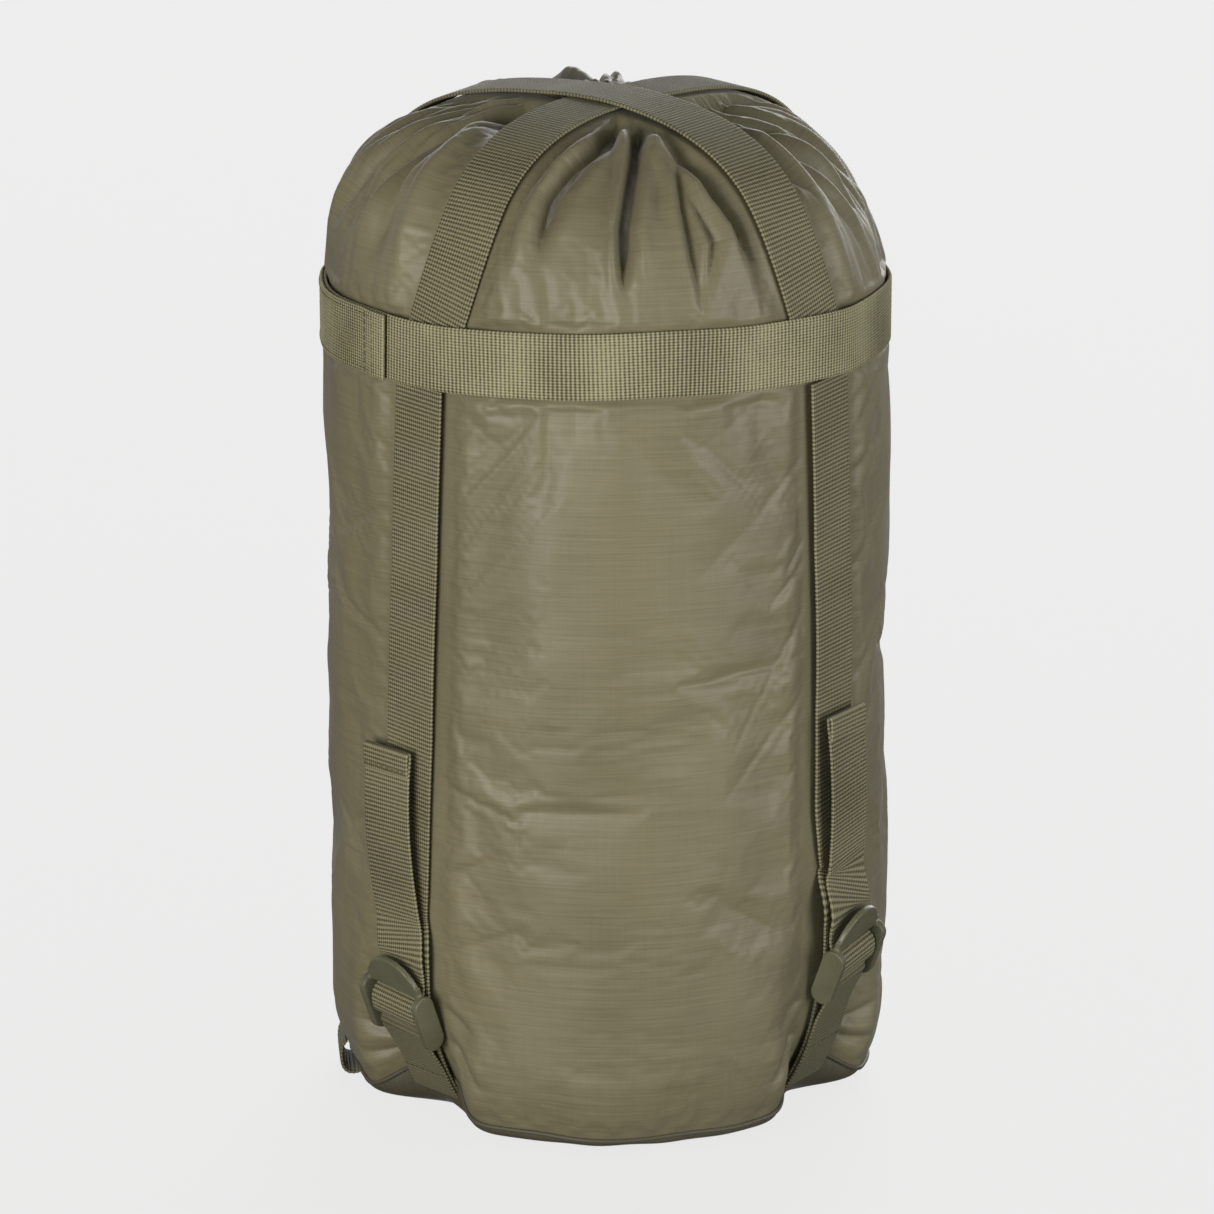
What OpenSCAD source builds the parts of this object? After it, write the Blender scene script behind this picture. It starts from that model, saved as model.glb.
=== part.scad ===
// Webbing compression sack, packed full, standing on its round base.
// Millimetres. +Z is up, the origin is the middle of the base on the floor, and the front faces -Y.
// Azimuths are measured round the sack from the front (-Y) towards +X.

/* [Sack] */
// Radius of the packed body
body_r = 110; // [100:1:120]
// How much narrower the flat base is than the body
corner_in = 18; // [10:1:24]
// Height over which the base corner rounds up into the wall
corner_h = 40; // [25:1:60]
// Height of the base seam
seam_z = 9; // [6:0.5:14]
// Height of the belt's middle, where the side panel meets the crown
belt_z = 312; // [280:1:330]
// Height at which the wall starts to turn over into the dome
dome_z = 300; // [280:1:310]
// Rise of the dome above that height
dome_h = 96; // [80:1:110]
// Squareness of the dome's outline, 2 is round
dome_power = 3; // [2:0.1:4]
// Thickness of the fabric panels
cloth_t = 1.2; // [0.8:0.1:2]

/* [Straps] */
// Webbing width
web_w = 25; // [20:1:30]
// Webbing thickness
web_t = 1.5; // [1:0.1:2]
// Azimuth of the straps above the belt
strap_top_az = 45; // [40:1:48]
// Azimuth of the straps at the base seam
strap_foot_az = 51; // [45:1:52]
// How far in front of the sack's diagonals the straps cross the dome
cross_shift = 15; // [0:1:20]
// The part of that shift which the straps already have at the belt
cross_foot = 3.7; // [0:0.1:6]
// How deep the straps press into the filled body
groove = 3; // [2:0.1:5]
// How much deeper the sewn strap feet pull the base seam in
foot_pull = 9; // [4:0.5:12]
// Half width of the pressed groove, in degrees
groove_half = 14; // [12:1:18]
// Azimuth of the belt's free, folded end
belt_end_az = -53; // [-60:1:-50]
// How far the belt's two ends overlap, in degrees
belt_lap = 47; // [20:1:60]

/* [Ladder locks] */
// Height of each lock's sewn bar: front left, front right, back right, back left
lock_z = [41, 57, 48, 45]; // [30:1:60]
// Roll of each lock in the plane of its strap
lock_roll = [-4, 8, 3, -3]; // [-10:1:10]
// Top of each loose tail
tail_z = [155, 167, 158, 162]; // [120:1:180]
// Lean of a lock away from the sack
lock_lean = 10; // [4:1:16]
// Radius of the sewn bar
bar_r = 2; // [1.6:0.1:2.4]
// Thickness of a lock's side ears
ear_t = 3.75; // [3:0.25:4.5]

/* [Mouth] */
// Radius of the gathered mouth, to the middle of the drawcord
mouth_r = 22; // [20:1:26]
// Radius of the drawcord's tunnel, outside
tunnel_r = 3.6; // [3.2:0.1:4]
// Radius of the drawcord
cord_r = 1.6; // [1.2:0.1:1.8]
// Outer radius of the cord lock's barrel
barrel_r = 8; // [7.5:0.5:9]
// Travel of the cord lock's button
button_travel = 3; // [2:0.5:4]

/* [Haul loop] */
// Azimuth of the haul loop
loop_az = -90; // [-95:1:-85]

/* [Hidden] */
gap = 0.3;
load_gap = 1;
step = 6;
around = [for (a = [0:step:360 - step]) a];
corner_side = [-1, 1, 1, -1];
corner_az = [-strap_foot_az, strap_foot_az, 180 - strap_foot_az, 180 + strap_foot_az];
corner_drift = [1, -1, 1, -1];
wall_levels = [seam_z + 0.2, 13, 18, 25, 35, 48, 65, 90, 150, 230, belt_z - 0.2];
dome_angles = [2.6, 10, 20, 30, 40, 50, 60, 69, 77, 84];
base_levels = [[1, 0], [60, 0], [body_r - corner_in, 0], [96.5, 4], [wall_r(seam_z - 0.2), seam_z - 0.2]];
base_inner = [for (i = [0:4]) base_levels[i] + (i < 3 ? [0, cloth_t] : [-cloth_t, i == 3 ? cloth_t : 0])];
mouth_z = 391.5;
lock_off = 4.6;
slot_half = web_w / 2 + 0.9;
belt_r = body_r + 0.4 + web_t / 2;
barrel_z = 361;
barrel_h = 23;
cord_z = 380.75;

// ---- shape of the filled sack ----

// Wall radius at height z between the straps, below the dome
function wall_r(z) = body_r - corner_in * pow(max(0, 1 - z / corner_h), 2.5);

// Depth of the strap grooves at height z
function groove_depth(z) = groove + foot_pull * exp(-pow((z - 15) / 30, 2));

// Azimuth of the straps on the right front at height z
function strap_az(z) = strap_foot_az + (strap_top_az - strap_foot_az) * min(z, belt_z) / belt_z;

// How far a strap on the dome lies in front of the diagonal, at height z
function cross_offset(z) =
    cross_foot + (cross_shift - cross_foot) * sin(90 * min(1, max(0, z - belt_z) / 55));

// Azimuths of the four straps where the sack has this outline point, given as radius and height
function strap_azimuths(p) =
    p.y <= belt_z
    ? let (s = strap_az(p.y)) [s, -s, 180 - s, 180 + s]
    : let (d = asin(cross_offset(p.y) / max(p.x, 30)), f = strap_top_az - d, b = 180 - strap_top_az - d)
      [f, -f, b, -b];

// Smallest angle between two azimuths
function angle_gap(a, b) = abs((a - b + 720 + 180) % 360 - 180);

// Share of the groove's depth at azimuth a beside outline point p: 1 under a strap, 0 between the straps
function groove_share(a, p) =
    let (d = min([for (b = strap_azimuths(p)) angle_gap(a, b)]))
    exp(-pow(d / groove_half, 4));

// Outline of the wall and of the dome, as radius and height
wall_outline = [for (z = wall_levels) [wall_r(z), z]];
dome_outline = [for (t = dome_angles)
    [body_r * pow(cos(t), 2 / dome_power), dome_z + dome_h * pow(sin(t), 2 / dome_power)]];

// Outward direction of an outline at its point i
function outward(line, i) =
    let (p = line[max(0, i - 1)], q = line[min(len(line) - 1, i + 1)], d = (q - p) / norm(q - p))
    [d.y, -d.x];

// The outline moved inwards by d
function inset(line, d) = [for (i = [0:len(line) - 1]) line[i] - d * outward(line, i)];

// A ring round the sack through point p, pressed in under the straps as at outline point q
function ring(p, q) = [for (a = around)
    let (r = max(0.5, p.x - (p.x < 30 ? 0 : groove_depth(q.y) * groove_share(a, q))))
    [r * sin(a), -r * cos(a), p.y]];

// Rings through every point of line, pressed in as at the points of the outline it was inset from
function rings(line, outline) = [for (i = [0:len(line) - 1]) ring(line[i], outline[i])];

function reversed(list) = [for (i = [len(list) - 1:-1:0]) list[i]];

// Depth of the groove's floor at height z, under a strap
function groove_floor(z) = wall_r(z) - groove_depth(z);

// ---- solids from rings and from ribbons ----

// A solid through a list of rings. It closes on itself if looped, and is capped if not.
module loft(rings, looped) {
    n = len(rings[0]);
    m = len(rings);
    last = looped ? m - 1 : m - 2;
    walls = [for (k = [0:last], i = [0:n - 1])
        let (a = k * n, b = (k + 1) % m * n, j = (i + 1) % n)
        each [[a + i, b + i, b + j], [a + i, b + j, a + j]]];
    caps = looped ? [] : [[for (i = [0:n - 1]) i], [for (i = [n - 1:-1:0]) (m - 1) * n + i]];
    polyhedron(points = [for (r = rings) each r], faces = concat(walls, caps), convexity = 6);
}

// A closed fabric shell with this outline, thickness t
module skin(outline, t) {
    loft(concat(rings(outline, outline), reversed(rings(inset(outline, t), outline))), true);
}

// Webbing along a path of points. Its width runs along across, which has one direction for each point.
module ribbon(path, across) {
    last = len(path) - 1;
    sections = [for (i = [0:last])
        let (d = path[min(last, i + 1)] - path[max(0, i - 1)],
             n = cross(d, across[i]),
             u = n / norm(n) * web_t / 2,
             s = across[i] * web_w / 2)
        [path[i] - s - u, path[i] + s - u, path[i] + s + u, path[i] - s + u]];
    loft(sections, false);
}

// The same direction for every point of a path
function all_along(path, dir) = [for (p = path) dir];

// ---- fabric and filling ----

module base_panel() {
    color([0.30, 0.28, 0.22])
    loft(concat(rings(base_levels, base_levels), reversed(rings(base_inner, base_levels))), false);
}

module side_panel() {
    color([0.49, 0.47, 0.38]) skin(wall_outline, cloth_t);
}

module crown() {
    color([0.49, 0.47, 0.38]) skin(dome_outline, cloth_t);
}

// The packed stuffing, with a pocket at the mouth where the cord lock sits
module packed_load() {
    inside = cloth_t + load_gap;
    floor = [[1, inside], [body_r - corner_in - 3, inside]];
    dome = [for (i = [1:7]) dome_outline[i]];
    pocket = [[30, 386], [20, 385.5], [16.5, 382], [16, barrel_z - 1], [1, barrel_z - 1]];
    inner_dome = inset(dome_outline, inside);
    color([0.62, 0.60, 0.55])
    loft(concat(
        rings(floor, floor),
        rings(inset(wall_outline, inside), wall_outline),
        rings([for (i = [1:7]) inner_dome[i]], dome),
        rings(pocket, pocket)), false);
}

// ---- mouth ----

module drawcord_tunnel() {
    color([0.45, 0.43, 0.34])
    difference() {
        translate([0, 0, mouth_z])
            rotate_extrude($fn = 64)
            translate([mouth_r, 0])
            difference() {
                circle(r = tunnel_r, $fn = 32);
                circle(r = cord_r + 0.4, $fn = 32);
            }
        for (y = [-1, 1]) translate([0, y * 2.2, 0]) cord_leg(cord_r + 0.4);
    }
}

// The straight stretch of cord from the lock up to the tunnel
module cord_leg(r) {
    run = mouth_r - 3;
    rise = mouth_z - cord_z;
    translate([0, 0, cord_z]) rotate([0, 90, 0]) cylinder(r = r, h = 9, $fn = 24);
    translate([8.6, 0, cord_z]) rotate([0, atan2(run - 5.2, rise), 0])
        cylinder(r = r, h = norm([run - 5.2, rise]), $fn = 24);
}

module drawcord() {
    color([0.20, 0.20, 0.17]) union() {
        translate([0, 0, mouth_z])
            rotate_extrude($fn = 64)
            translate([mouth_r, 0])
            circle(r = cord_r, $fn = 24);
        for (y = [-1, 1]) translate([0, y * 2.2, 0]) cord_leg(cord_r);
    }
}

module cord_lock_barrel() {
    color([0.16, 0.16, 0.14])
    difference() {
        translate([0, 0, barrel_z]) cylinder(r = barrel_r, h = barrel_h, $fn = 48);
        translate([0, 0, barrel_z + 1.5]) cylinder(r = 6.3, h = barrel_h, $fn = 48);
        translate([-10, -4.3, cord_z - 3.25]) cube([20, 8.6, 5]);
    }
}

module cord_lock_button() {
    color([0.16, 0.16, 0.14])
    difference() {
        translate([0, 0, 372]) cylinder(r = 6, h = 19, $fn = 48);
        translate([-10, -4.3, cord_z - 1.75]) cube([20, 8.6, 3.6 + button_travel]);
    }
}

// The coil spring under the button
module cord_lock_spring() {
    turns = 4;
    wire = 0.4;
    low = barrel_z + 1.6 + wire;
    high = 371.9 - wire;
    count = turns * 12;
    sections = [for (k = [0:count])
        let (a = k * 30, z = low + (high - low) * k / count)
        [for (s = [0:60:300])
            let (r = 4.4 + wire * cos(s))
            [r * cos(a), r * sin(a), z - wire * sin(s)]]];
    color("silver") loft(sections, false);
}

// ---- belt and cross straps ----

// The belt starts under its own end, goes once round, and laps over its start
module belt() {
    first = belt_end_az - belt_lap;
    turn = 360 + belt_lap;
    climb = 14;
    count = 96;
    path = [for (k = [0:count])
        let (s = turn * k / count,
             r = belt_r + (web_t + 0.2) * min(1, max(0, (s - 360 + climb) / climb)),
             a = first + s)
        [r * sin(a), -r * cos(a), belt_z]];
    color([0.54, 0.53, 0.42]) ribbon(path, all_along(path, [0, 0, 1]));
}

// Outward direction, at point p, of a dome with radius r and rise h
function dome_normal(p, r, h) =
    let (q = norm([p.x, p.y]),
         s = pow(q / r, dome_power - 1) / r / q,
         n = [s * p.x, s * p.y, pow((p.z - dome_z) / h, dome_power - 1) / h])
    n / norm(n);

// A strap over the dome, from one side of the belt to the other, in front of the diagonal
module cross_strap(side, lift) {
    r = body_r - groove + 2 * gap + web_t / 2;
    h = dome_h + lift;
    front = [for (t = concat([0.5], [for (k = [6:6:84]) k]))
        let (q = r * pow(cos(t), 2 / dome_power),
             z = dome_z + h * pow(sin(t), 2 / dome_power),
             e = cross_offset(z))
        [-side * e, -sqrt(q * q - e * e), z]];
    top = [-side * cross_shift, 0, dome_z + h * pow(1 - pow(cross_shift / r, dome_power), 1 / dome_power)];
    path = concat(front, [top], [for (p = reversed(front)) [p.x, -p.y, p.z]]);
    last = len(path) - 1;
    across = [for (i = [0:last])
        let (d = path[min(last, i + 1)] - path[max(0, i - 1)],
             s = cross(d, dome_normal(path[i], r, h)))
        s / norm(s)];
    color([0.42, 0.40, 0.31]) rotate([0, 0, side * strap_top_az]) ribbon(path, across);
}

module cross_strap_under() {
    cross_strap(-1, 1.4);
}

module cross_strap_over() {
    cross_strap(1, 1.4 + web_t + 2 * gap);
}

// ---- strap ends, one set at each corner ----

// Radius of the lock's sewn bar at corner c
function lock_r(c) = groove_floor(lock_z[c]) + lock_off;

// A point in a lock's plane, out from the sack and up from its bar, as local x, y, z
function by_lock(c, out, up) =
    let (rise = up * cos(lock_lean) - out * sin(lock_lean))
    [-rise * sin(lock_roll[c]),
     -lock_r(c) - out * cos(lock_lean) - up * sin(lock_lean),
     lock_z[c] + rise * cos(lock_roll[c])];

// Points in a lock's plane, each given as [out, up]
function in_lock(c, points) = [for (p = points) by_lock(c, p.x, p.y)];

// Direction across the webbing, turned by a share of lock c's roll
function across_lock(c, share) = [cos(share * lock_roll[c]), 0, sin(share * lock_roll[c])];

// Places what faces -Y at a corner of the sack
module at_corner(c) {
    rotate([0, 0, corner_az[c]]) children();
}

// The strap from the belt down behind the lock, and into its lower slot
module strap_run(c) {
    top = belt_z - web_w / 2 - 0.5;
    low = lock_z[c] + 46;
    sway = sin(corner_drift[c] * (strap_foot_az - strap_top_az)) * body_r;
    upper = [for (k = [0:8])
        let (z = top + (low - top) * k / 8)
        [sway * (z - low) / (belt_z - low), -(groove_floor(z) + gap + 0.3 + web_t / 2), z]];
    lower = in_lock(c, [[-3.3, 34], [-2.4, 24], [-1.7, 15], [-1.5, 9], [-0.8, 6.2], [0.6, 5.1], [1.6, 4.9]]);
    color([0.42, 0.40, 0.31]) at_corner(c)
        ribbon(concat(upper, lower), concat(
            all_along(upper, across_lock(c, 0)), [across_lock(c, 0.5)],
            [for (i = [1:6]) across_lock(c, 1)]));
}

// The strap from the lower slot, over the middle bar, in behind the tab and up as a loose tail
module strap_tail(c) {
    top = tail_z[c];
    low = lock_z[c] + 44;
    hang = groove_floor(low) + gap + 2.5 * web_t + 1;
    threaded = in_lock(c, [
        [2, 4.9], [3.8, 4.9], [5.3, 5.4], [6.1, 7], [6.3, 10], [6.1, 12.9],
        [4.8, 15.2], [2.6, 16.6], [0.9, 19], [0.3, 24], [0.4, 32]]);
    loose = [for (k = [0:6])
        let (s = k / 6)
        [corner_side[c] * 2.5 * sin(90 * s), -(hang + 3.5 * sin(150 * s)), low + (top - low) * s]];
    color([0.44, 0.42, 0.33]) at_corner(c)
        ribbon(concat(threaded, loose), concat(
            all_along(threaded, across_lock(c, 1)), [across_lock(c, 0.5)],
            [for (k = [1:6]) across_lock(c, 0)]));
}

// Radius of webbing that lies against the groove's floor at height z
function against_r(z) = groove_floor(z) + 2 * gap + web_t / 2;

// The short webbing that holds the lock: sewn at the base seam, looped round the lock's bar
module anchor(c) {
    bend = bar_r + 0.3 + web_t / 2;
    foot_z = seam_z + 4;
    top_z = lock_z[c] - 8;
    lift = 0.4;
    foot_r = against_r(foot_z) + lift;
    slope = atan2(lock_r(c) - foot_r, lock_z[c] - foot_z) - lock_lean;
    heights = [for (k = [0:8]) foot_z + (top_z - foot_z) * k / 8];
    back = [for (z = heights) [0, -against_r(z) - lift, z]];
    round_bar = in_lock(c, [for (k = [0:8]) let (a = k * 22.5 + slope) bend * [-cos(a), sin(a)]]);
    last = round_bar[8];
    front = [for (z = reversed(heights))
        let (straight = foot_r + (-last.y - foot_r) * (z - foot_z) / (last.z - foot_z))
        [0, -max(straight, against_r(z) + lift + web_t + 0.3), z]];
    color([0.42, 0.40, 0.31]) at_corner(c)
        ribbon(concat(back, round_bar, front), concat(
            [for (k = [0:8]) across_lock(c, k / 9)], all_along(round_bar, across_lock(c, 1)),
            [for (k = [8:-1:0]) across_lock(c, k / 9)]));
}

// Moulded ladder lock, drawn round its sewn bar: x across, -y out from the sack, z up
module ladder_lock_body() {
    span = 2 * slot_half;
    rotate([0, 90, 0]) cylinder(r = bar_r, h = span + 2, center = true, $fn = 32);
    translate([-slot_half - 1, -4.8, 6.6]) cube([span + 2, 3, 6.8]);
    translate([0, -5.2, 18.4]) rotate([12, 0, 0]) {
        translate([-slot_half - 1, 0, 0.2]) cube([span + 2, 2.4, 5]);
        ladder_tab();
    }
    for (side = [-1, 1]) translate([side * (slot_half + ear_t / 2), 0, 0]) ladder_ear();
}

// The thumb tab: a plate with a round top
module ladder_tab() {
    half = slot_half + 1;
    height = 14.5;
    big = (half * half + height * height) / (2 * height);
    translate([0, 2.4, 0.2]) rotate([90, 0, 0]) linear_extrude(2.4)
    intersection() {
        translate([0, height - big]) circle(r = big, $fn = 64);
        translate([-half, 0]) square([2 * half, height]);
    }
}

// A side ear: a bean shape that carries all three bars
module ladder_ear() {
    low = [2.4, 1.2];
    high = [6.4, 15];
    r = 5.2;
    d = high - low;
    rotate([90, 0, 90]) linear_extrude(ear_t, center = true)
    mirror([1, 0]) {
        translate(low) circle(r = r, $fn = 48);
        translate(high) circle(r = r, $fn = 48);
        translate(low) rotate(atan2(d.y, d.x)) translate([0, -r]) square([norm(d), 2 * r]);
    }
}

module ladder_lock(c) {
    color([0.44, 0.43, 0.35])
    at_corner(c)
    translate([0, -lock_r(c), lock_z[c]])
    rotate([0, -lock_roll[c], 0])
    rotate([lock_lean, 0, 0])
        ladder_lock_body();
}

// ---- haul loop ----

// A folded webbing loop sewn on above the base seam, resting on the floor
module haul_loop() {
    route = [[105.8, 14.4], [107.2, 12.4], [107.7, 9.5], [107.6, 6], [106.8, 3], [105, 1.3], [102.6, 1],
             [100.7, 1.6], [99.7, 3.2], [99.9, 5], [101, 7.4], [102.6, 9.7], [103.9, 11.6]];
    path = [for (p = route) [0, -p.x, p.y]];
    color([0.42, 0.40, 0.31]) rotate([0, 0, loop_az]) ribbon(path, all_along(path, [1, 0, 0]));
}

base_panel();
side_panel();
crown();
packed_load();
drawcord_tunnel();
drawcord();
cord_lock_barrel();
cord_lock_button();
cord_lock_spring();
belt();
cross_strap_under();
cross_strap_over();
strap_run(0);  // strap_run_front_left
strap_run(1);  // strap_run_front_right
strap_run(2);  // strap_run_back_right
strap_run(3);  // strap_run_back_left
strap_tail(0);  // strap_tail_front_left
strap_tail(1);  // strap_tail_front_right
strap_tail(2);  // strap_tail_back_right
strap_tail(3);  // strap_tail_back_left
ladder_lock(0);  // ladder_lock_front_left
ladder_lock(1);  // ladder_lock_front_right
ladder_lock(2);  // ladder_lock_back_right
ladder_lock(3);  // ladder_lock_back_left
anchor(0);  // anchor_front_left
anchor(1);  // anchor_front_right
anchor(2);  // anchor_back_right
anchor(3);  // anchor_back_left
haul_loop();
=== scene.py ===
import math

import bpy
import numpy as np
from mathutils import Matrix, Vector


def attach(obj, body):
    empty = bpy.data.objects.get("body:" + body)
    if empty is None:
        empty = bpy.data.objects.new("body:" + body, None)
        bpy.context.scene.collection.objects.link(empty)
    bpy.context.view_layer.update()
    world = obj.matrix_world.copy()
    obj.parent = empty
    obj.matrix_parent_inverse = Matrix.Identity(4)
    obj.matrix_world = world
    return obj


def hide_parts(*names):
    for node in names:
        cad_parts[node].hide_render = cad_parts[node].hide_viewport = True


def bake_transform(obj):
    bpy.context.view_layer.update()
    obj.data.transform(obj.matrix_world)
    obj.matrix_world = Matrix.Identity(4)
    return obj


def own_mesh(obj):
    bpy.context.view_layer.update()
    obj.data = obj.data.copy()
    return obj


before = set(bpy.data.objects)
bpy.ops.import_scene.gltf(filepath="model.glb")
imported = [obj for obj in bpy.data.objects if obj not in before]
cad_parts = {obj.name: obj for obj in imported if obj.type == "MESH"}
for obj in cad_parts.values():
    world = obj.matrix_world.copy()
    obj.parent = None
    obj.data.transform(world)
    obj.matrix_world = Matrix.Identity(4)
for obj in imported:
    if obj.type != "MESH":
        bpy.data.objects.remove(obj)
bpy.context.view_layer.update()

# Lengths are in millimetres and azimuths in degrees, from the front (-Y) towards +X, as in the CAD source.
# Meshes are scaled to metres when they are made.

MM = 0.001

# The filled sack: its body, rounded foot, belt, dome and mouth
BODY_R = 110
CORNER_IN = 18
CORNER_H = 40
SEAM_Z = 9
BELT_Z = 312
DOME_Z = 300
DOME_H = 96
DOME_POWER = 3
MOUTH_R = 22
MOUTH_Z = 391.5

# Webbing, and the straps' way down the sack: how deep they press in, and how far they stand off the diagonals
WEB_W = 25
WEB_T = 1.5
WEB_HALF = WEB_W / 2
GAP = 0.3
STRAP_TOP_AZ = 45
STRAP_FOOT_AZ = 51
CROSS_SHIFT = 15
CROSS_FOOT = 3.7
GROOVE = 3
FOOT_PULL = 9
BELT_END_AZ = -53
BELT_LAP = 47
BELT_R = BODY_R - 1.2 + WEB_T / 2

# What differs from corner to corner
CORNERS = ["front_left", "front_right", "back_right", "back_left"]
CORNER_AZ = [-STRAP_FOOT_AZ, STRAP_FOOT_AZ, 180 - STRAP_FOOT_AZ, 180 + STRAP_FOOT_AZ]
CORNER_DRIFT = [1, -1, 1, -1]
LOCK_Z = [41, 57, 48, 45]
LOCK_ROLL = [-4, 8, 3, -3]
TAIL_Z = [155, 167, 158, 162]
TAIL_SWEEP = [-2.5, -5.5, 2.5, -2.5]
FRONT_RIGHT = 1

# The front right strap bows towards the middle by this much, round this height
RIGHT_BOW = 3.4
BOW_Z = 115
BOW_LENGTH = 55

LOCK_LEAN = 10
LOCK_OFF = 4.6
BAR_R = 2
EAR_T = 3.2
SLOT_HALF = WEB_HALF + 0.9
LOOP_AZ = -90

# Pitch of the weave's ribs, and of the columns across them
RIB = 1.66
COLUMN = 1.12

# Cloth simulation: its length in frames, the most that it may move the cloth, and the share that is kept
SETTLE_FRAMES = 22
SETTLE_MOST = 3.0
SETTLE_SHARE = 0.7


def smooth(x):
    """A soft step from 0 to 1 as x goes from 0 to 1."""
    x = np.clip(x, 0, 1)
    return x * x * (3 - 2 * x)


def bump(x, width):
    """A round hump, 1 high at 0."""
    return np.exp(-((x / width) ** 2))


def unit(v):
    return v / np.maximum(np.linalg.norm(v, axis=-1, keepdims=True), 1e-9)


def polar(a, r, z):
    """Points at azimuths in radians, radii and heights."""
    return np.stack(np.broadcast_arrays(r * np.sin(a), -r * np.cos(a), z), -1)


def turn(points, axis, degrees):
    """Points turned about a coordinate axis (0 is x, 1 is y, 2 is z)."""
    c, s = math.cos(math.radians(degrees)), math.sin(math.radians(degrees))
    points = np.asarray(points, float)
    turned = points.copy()
    p, q = (axis + 1) % 3, (axis + 2) % 3
    turned[..., p] = points[..., p] * c - points[..., q] * s
    turned[..., q] = points[..., p] * s + points[..., q] * c
    return turned


# ---- shape of the filled sack ----

def wall_r(z):
    return BODY_R - CORNER_IN * np.maximum(0, 1 - z / CORNER_H) ** 2.5


def groove_depth(z):
    return GROOVE + FOOT_PULL * np.exp(-(((z - 15) / 30) ** 2))


def groove_floor(z):
    return wall_r(z) - groove_depth(z)


def wall_strap_az(z):
    return STRAP_FOOT_AZ + (STRAP_TOP_AZ - STRAP_FOOT_AZ) * np.minimum(z, BELT_Z) / BELT_Z


def cross_offset(z):
    """How far in front of the sack's diagonals the straps lie on the dome."""
    rise = np.clip((z - BELT_Z) / 55, 0, 1)
    return CROSS_FOOT + (CROSS_SHIFT - CROSS_FOOT) * np.sin(math.pi / 2 * rise)


def cross_gap(a, r, offset):
    """Distance from a point of the dome to the nearer crossing strap's middle line."""
    left, right = r * np.sin(a - math.pi / 4) + offset, r * np.sin(a + math.pi / 4) - offset
    return np.minimum(np.abs(left), np.abs(right))


def strap_gap(az, r, z):
    """Distance along the cloth from a point to the middle line of the nearest strap."""
    a = np.radians(az)
    dome = cross_gap(a, r, cross_offset(z) * smooth((z - DOME_Z) / (BELT_Z - DOME_Z)))
    s = np.radians(wall_strap_az(z))
    wall = np.full(np.broadcast(az, z).shape, 1e3)
    bow = RIGHT_BOW / BODY_R * bump(z - BOW_Z, BOW_LENGTH)
    for strap in (s - bow, -s, math.pi - s, math.pi + s):
        d = np.abs(np.remainder(a - strap + math.pi, 2 * math.pi) - math.pi)
        wall = np.minimum(wall, r * d)
    return np.where(z > DOME_Z, dome, wall)


def outline_table():
    """The sack's outline from the base seam to the mouth: distances along it, radii and heights."""
    z = np.arange(SEAM_Z, DOME_Z, 1.0)
    t = np.radians(84 * np.linspace(0, 1, 200) ** 1.5)
    dome_r = BODY_R * np.cos(t) ** (2 / DOME_POWER)
    dome_z = DOME_Z + DOME_H * np.sin(t) ** (2 / DOME_POWER)
    r = np.concatenate([wall_r(z), dome_r, [23.6, 22.8]])
    z = np.concatenate([z, dome_z, [395.0, 393.6]])
    v = np.concatenate([[0], np.cumsum(np.hypot(np.diff(r), np.diff(z)))])
    return v, r, z


OUT_V, OUT_R, OUT_Z = outline_table()
RISING = 480  # the outline's first points, which only climb
V_BELT = float(np.interp(BELT_Z, OUT_Z[:RISING], OUT_V[:RISING]))
V_END = float(OUT_V[-1])


def at_outline(v):
    """Radius, height and outward direction of the outline at distances v from the base seam."""
    r, z = np.interp(v, OUT_V, OUT_R), np.interp(v, OUT_V, OUT_Z)
    ahead, behind = np.minimum(v + 2, V_END), np.maximum(v - 2, 0)
    dr = np.interp(ahead, OUT_V, OUT_R) - np.interp(behind, OUT_V, OUT_R)
    dz = np.interp(ahead, OUT_V, OUT_Z) - np.interp(behind, OUT_V, OUT_Z)
    n = np.hypot(dr, dz)
    return r, z, dz / n, -dr / n


def waves(az, v, count, low, high, v_scale, seed):
    """Smooth irregular ripples round the sack, about 1 high, that join up after a full turn."""
    g = np.random.default_rng(seed)
    total = np.zeros(np.broadcast(az, v).shape)
    for _ in range(count):
        n = int(g.integers(low, high + 1))
        k = g.normal() / v_scale
        total += np.sin(n * np.radians(az) + k * v * 2 * math.pi + g.uniform(0, 2 * math.pi))
    return total / math.sqrt(count)


def fold_profile(x, left, right):
    """A sharp valley of depth 1 with a soft shoulder on each side; left and right are its half widths."""
    w = np.where(x < 0, left, right)
    s = np.abs(x) / w
    return -np.exp(-(s ** 1.25)) + 0.2 * np.exp(-(((s - 2.6) / 1.4) ** 2))


FOLD_EASE = 14


def radial_fold(az, v, r, line, depth, left, right):
    """A fold along line, given as azimuths and distances from the seam, that fades out at both ends."""
    points = sorted(line, key=lambda p: p[1])
    at_v = np.array([p[1] for p in points], float)
    at_az = np.array([p[0] for p in points], float)
    middle = np.interp(v, at_v, at_az)
    d = np.remainder(az - middle + 180, 360) - 180
    x = np.radians(d) * r
    start = smooth((v - at_v[0] + FOLD_EASE) / (2 * FOLD_EASE))
    end = smooth((at_v[-1] + FOLD_EASE - v) / (2 * FOLD_EASE))
    return depth * (start * end) * fold_profile(x, left, right)


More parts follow.
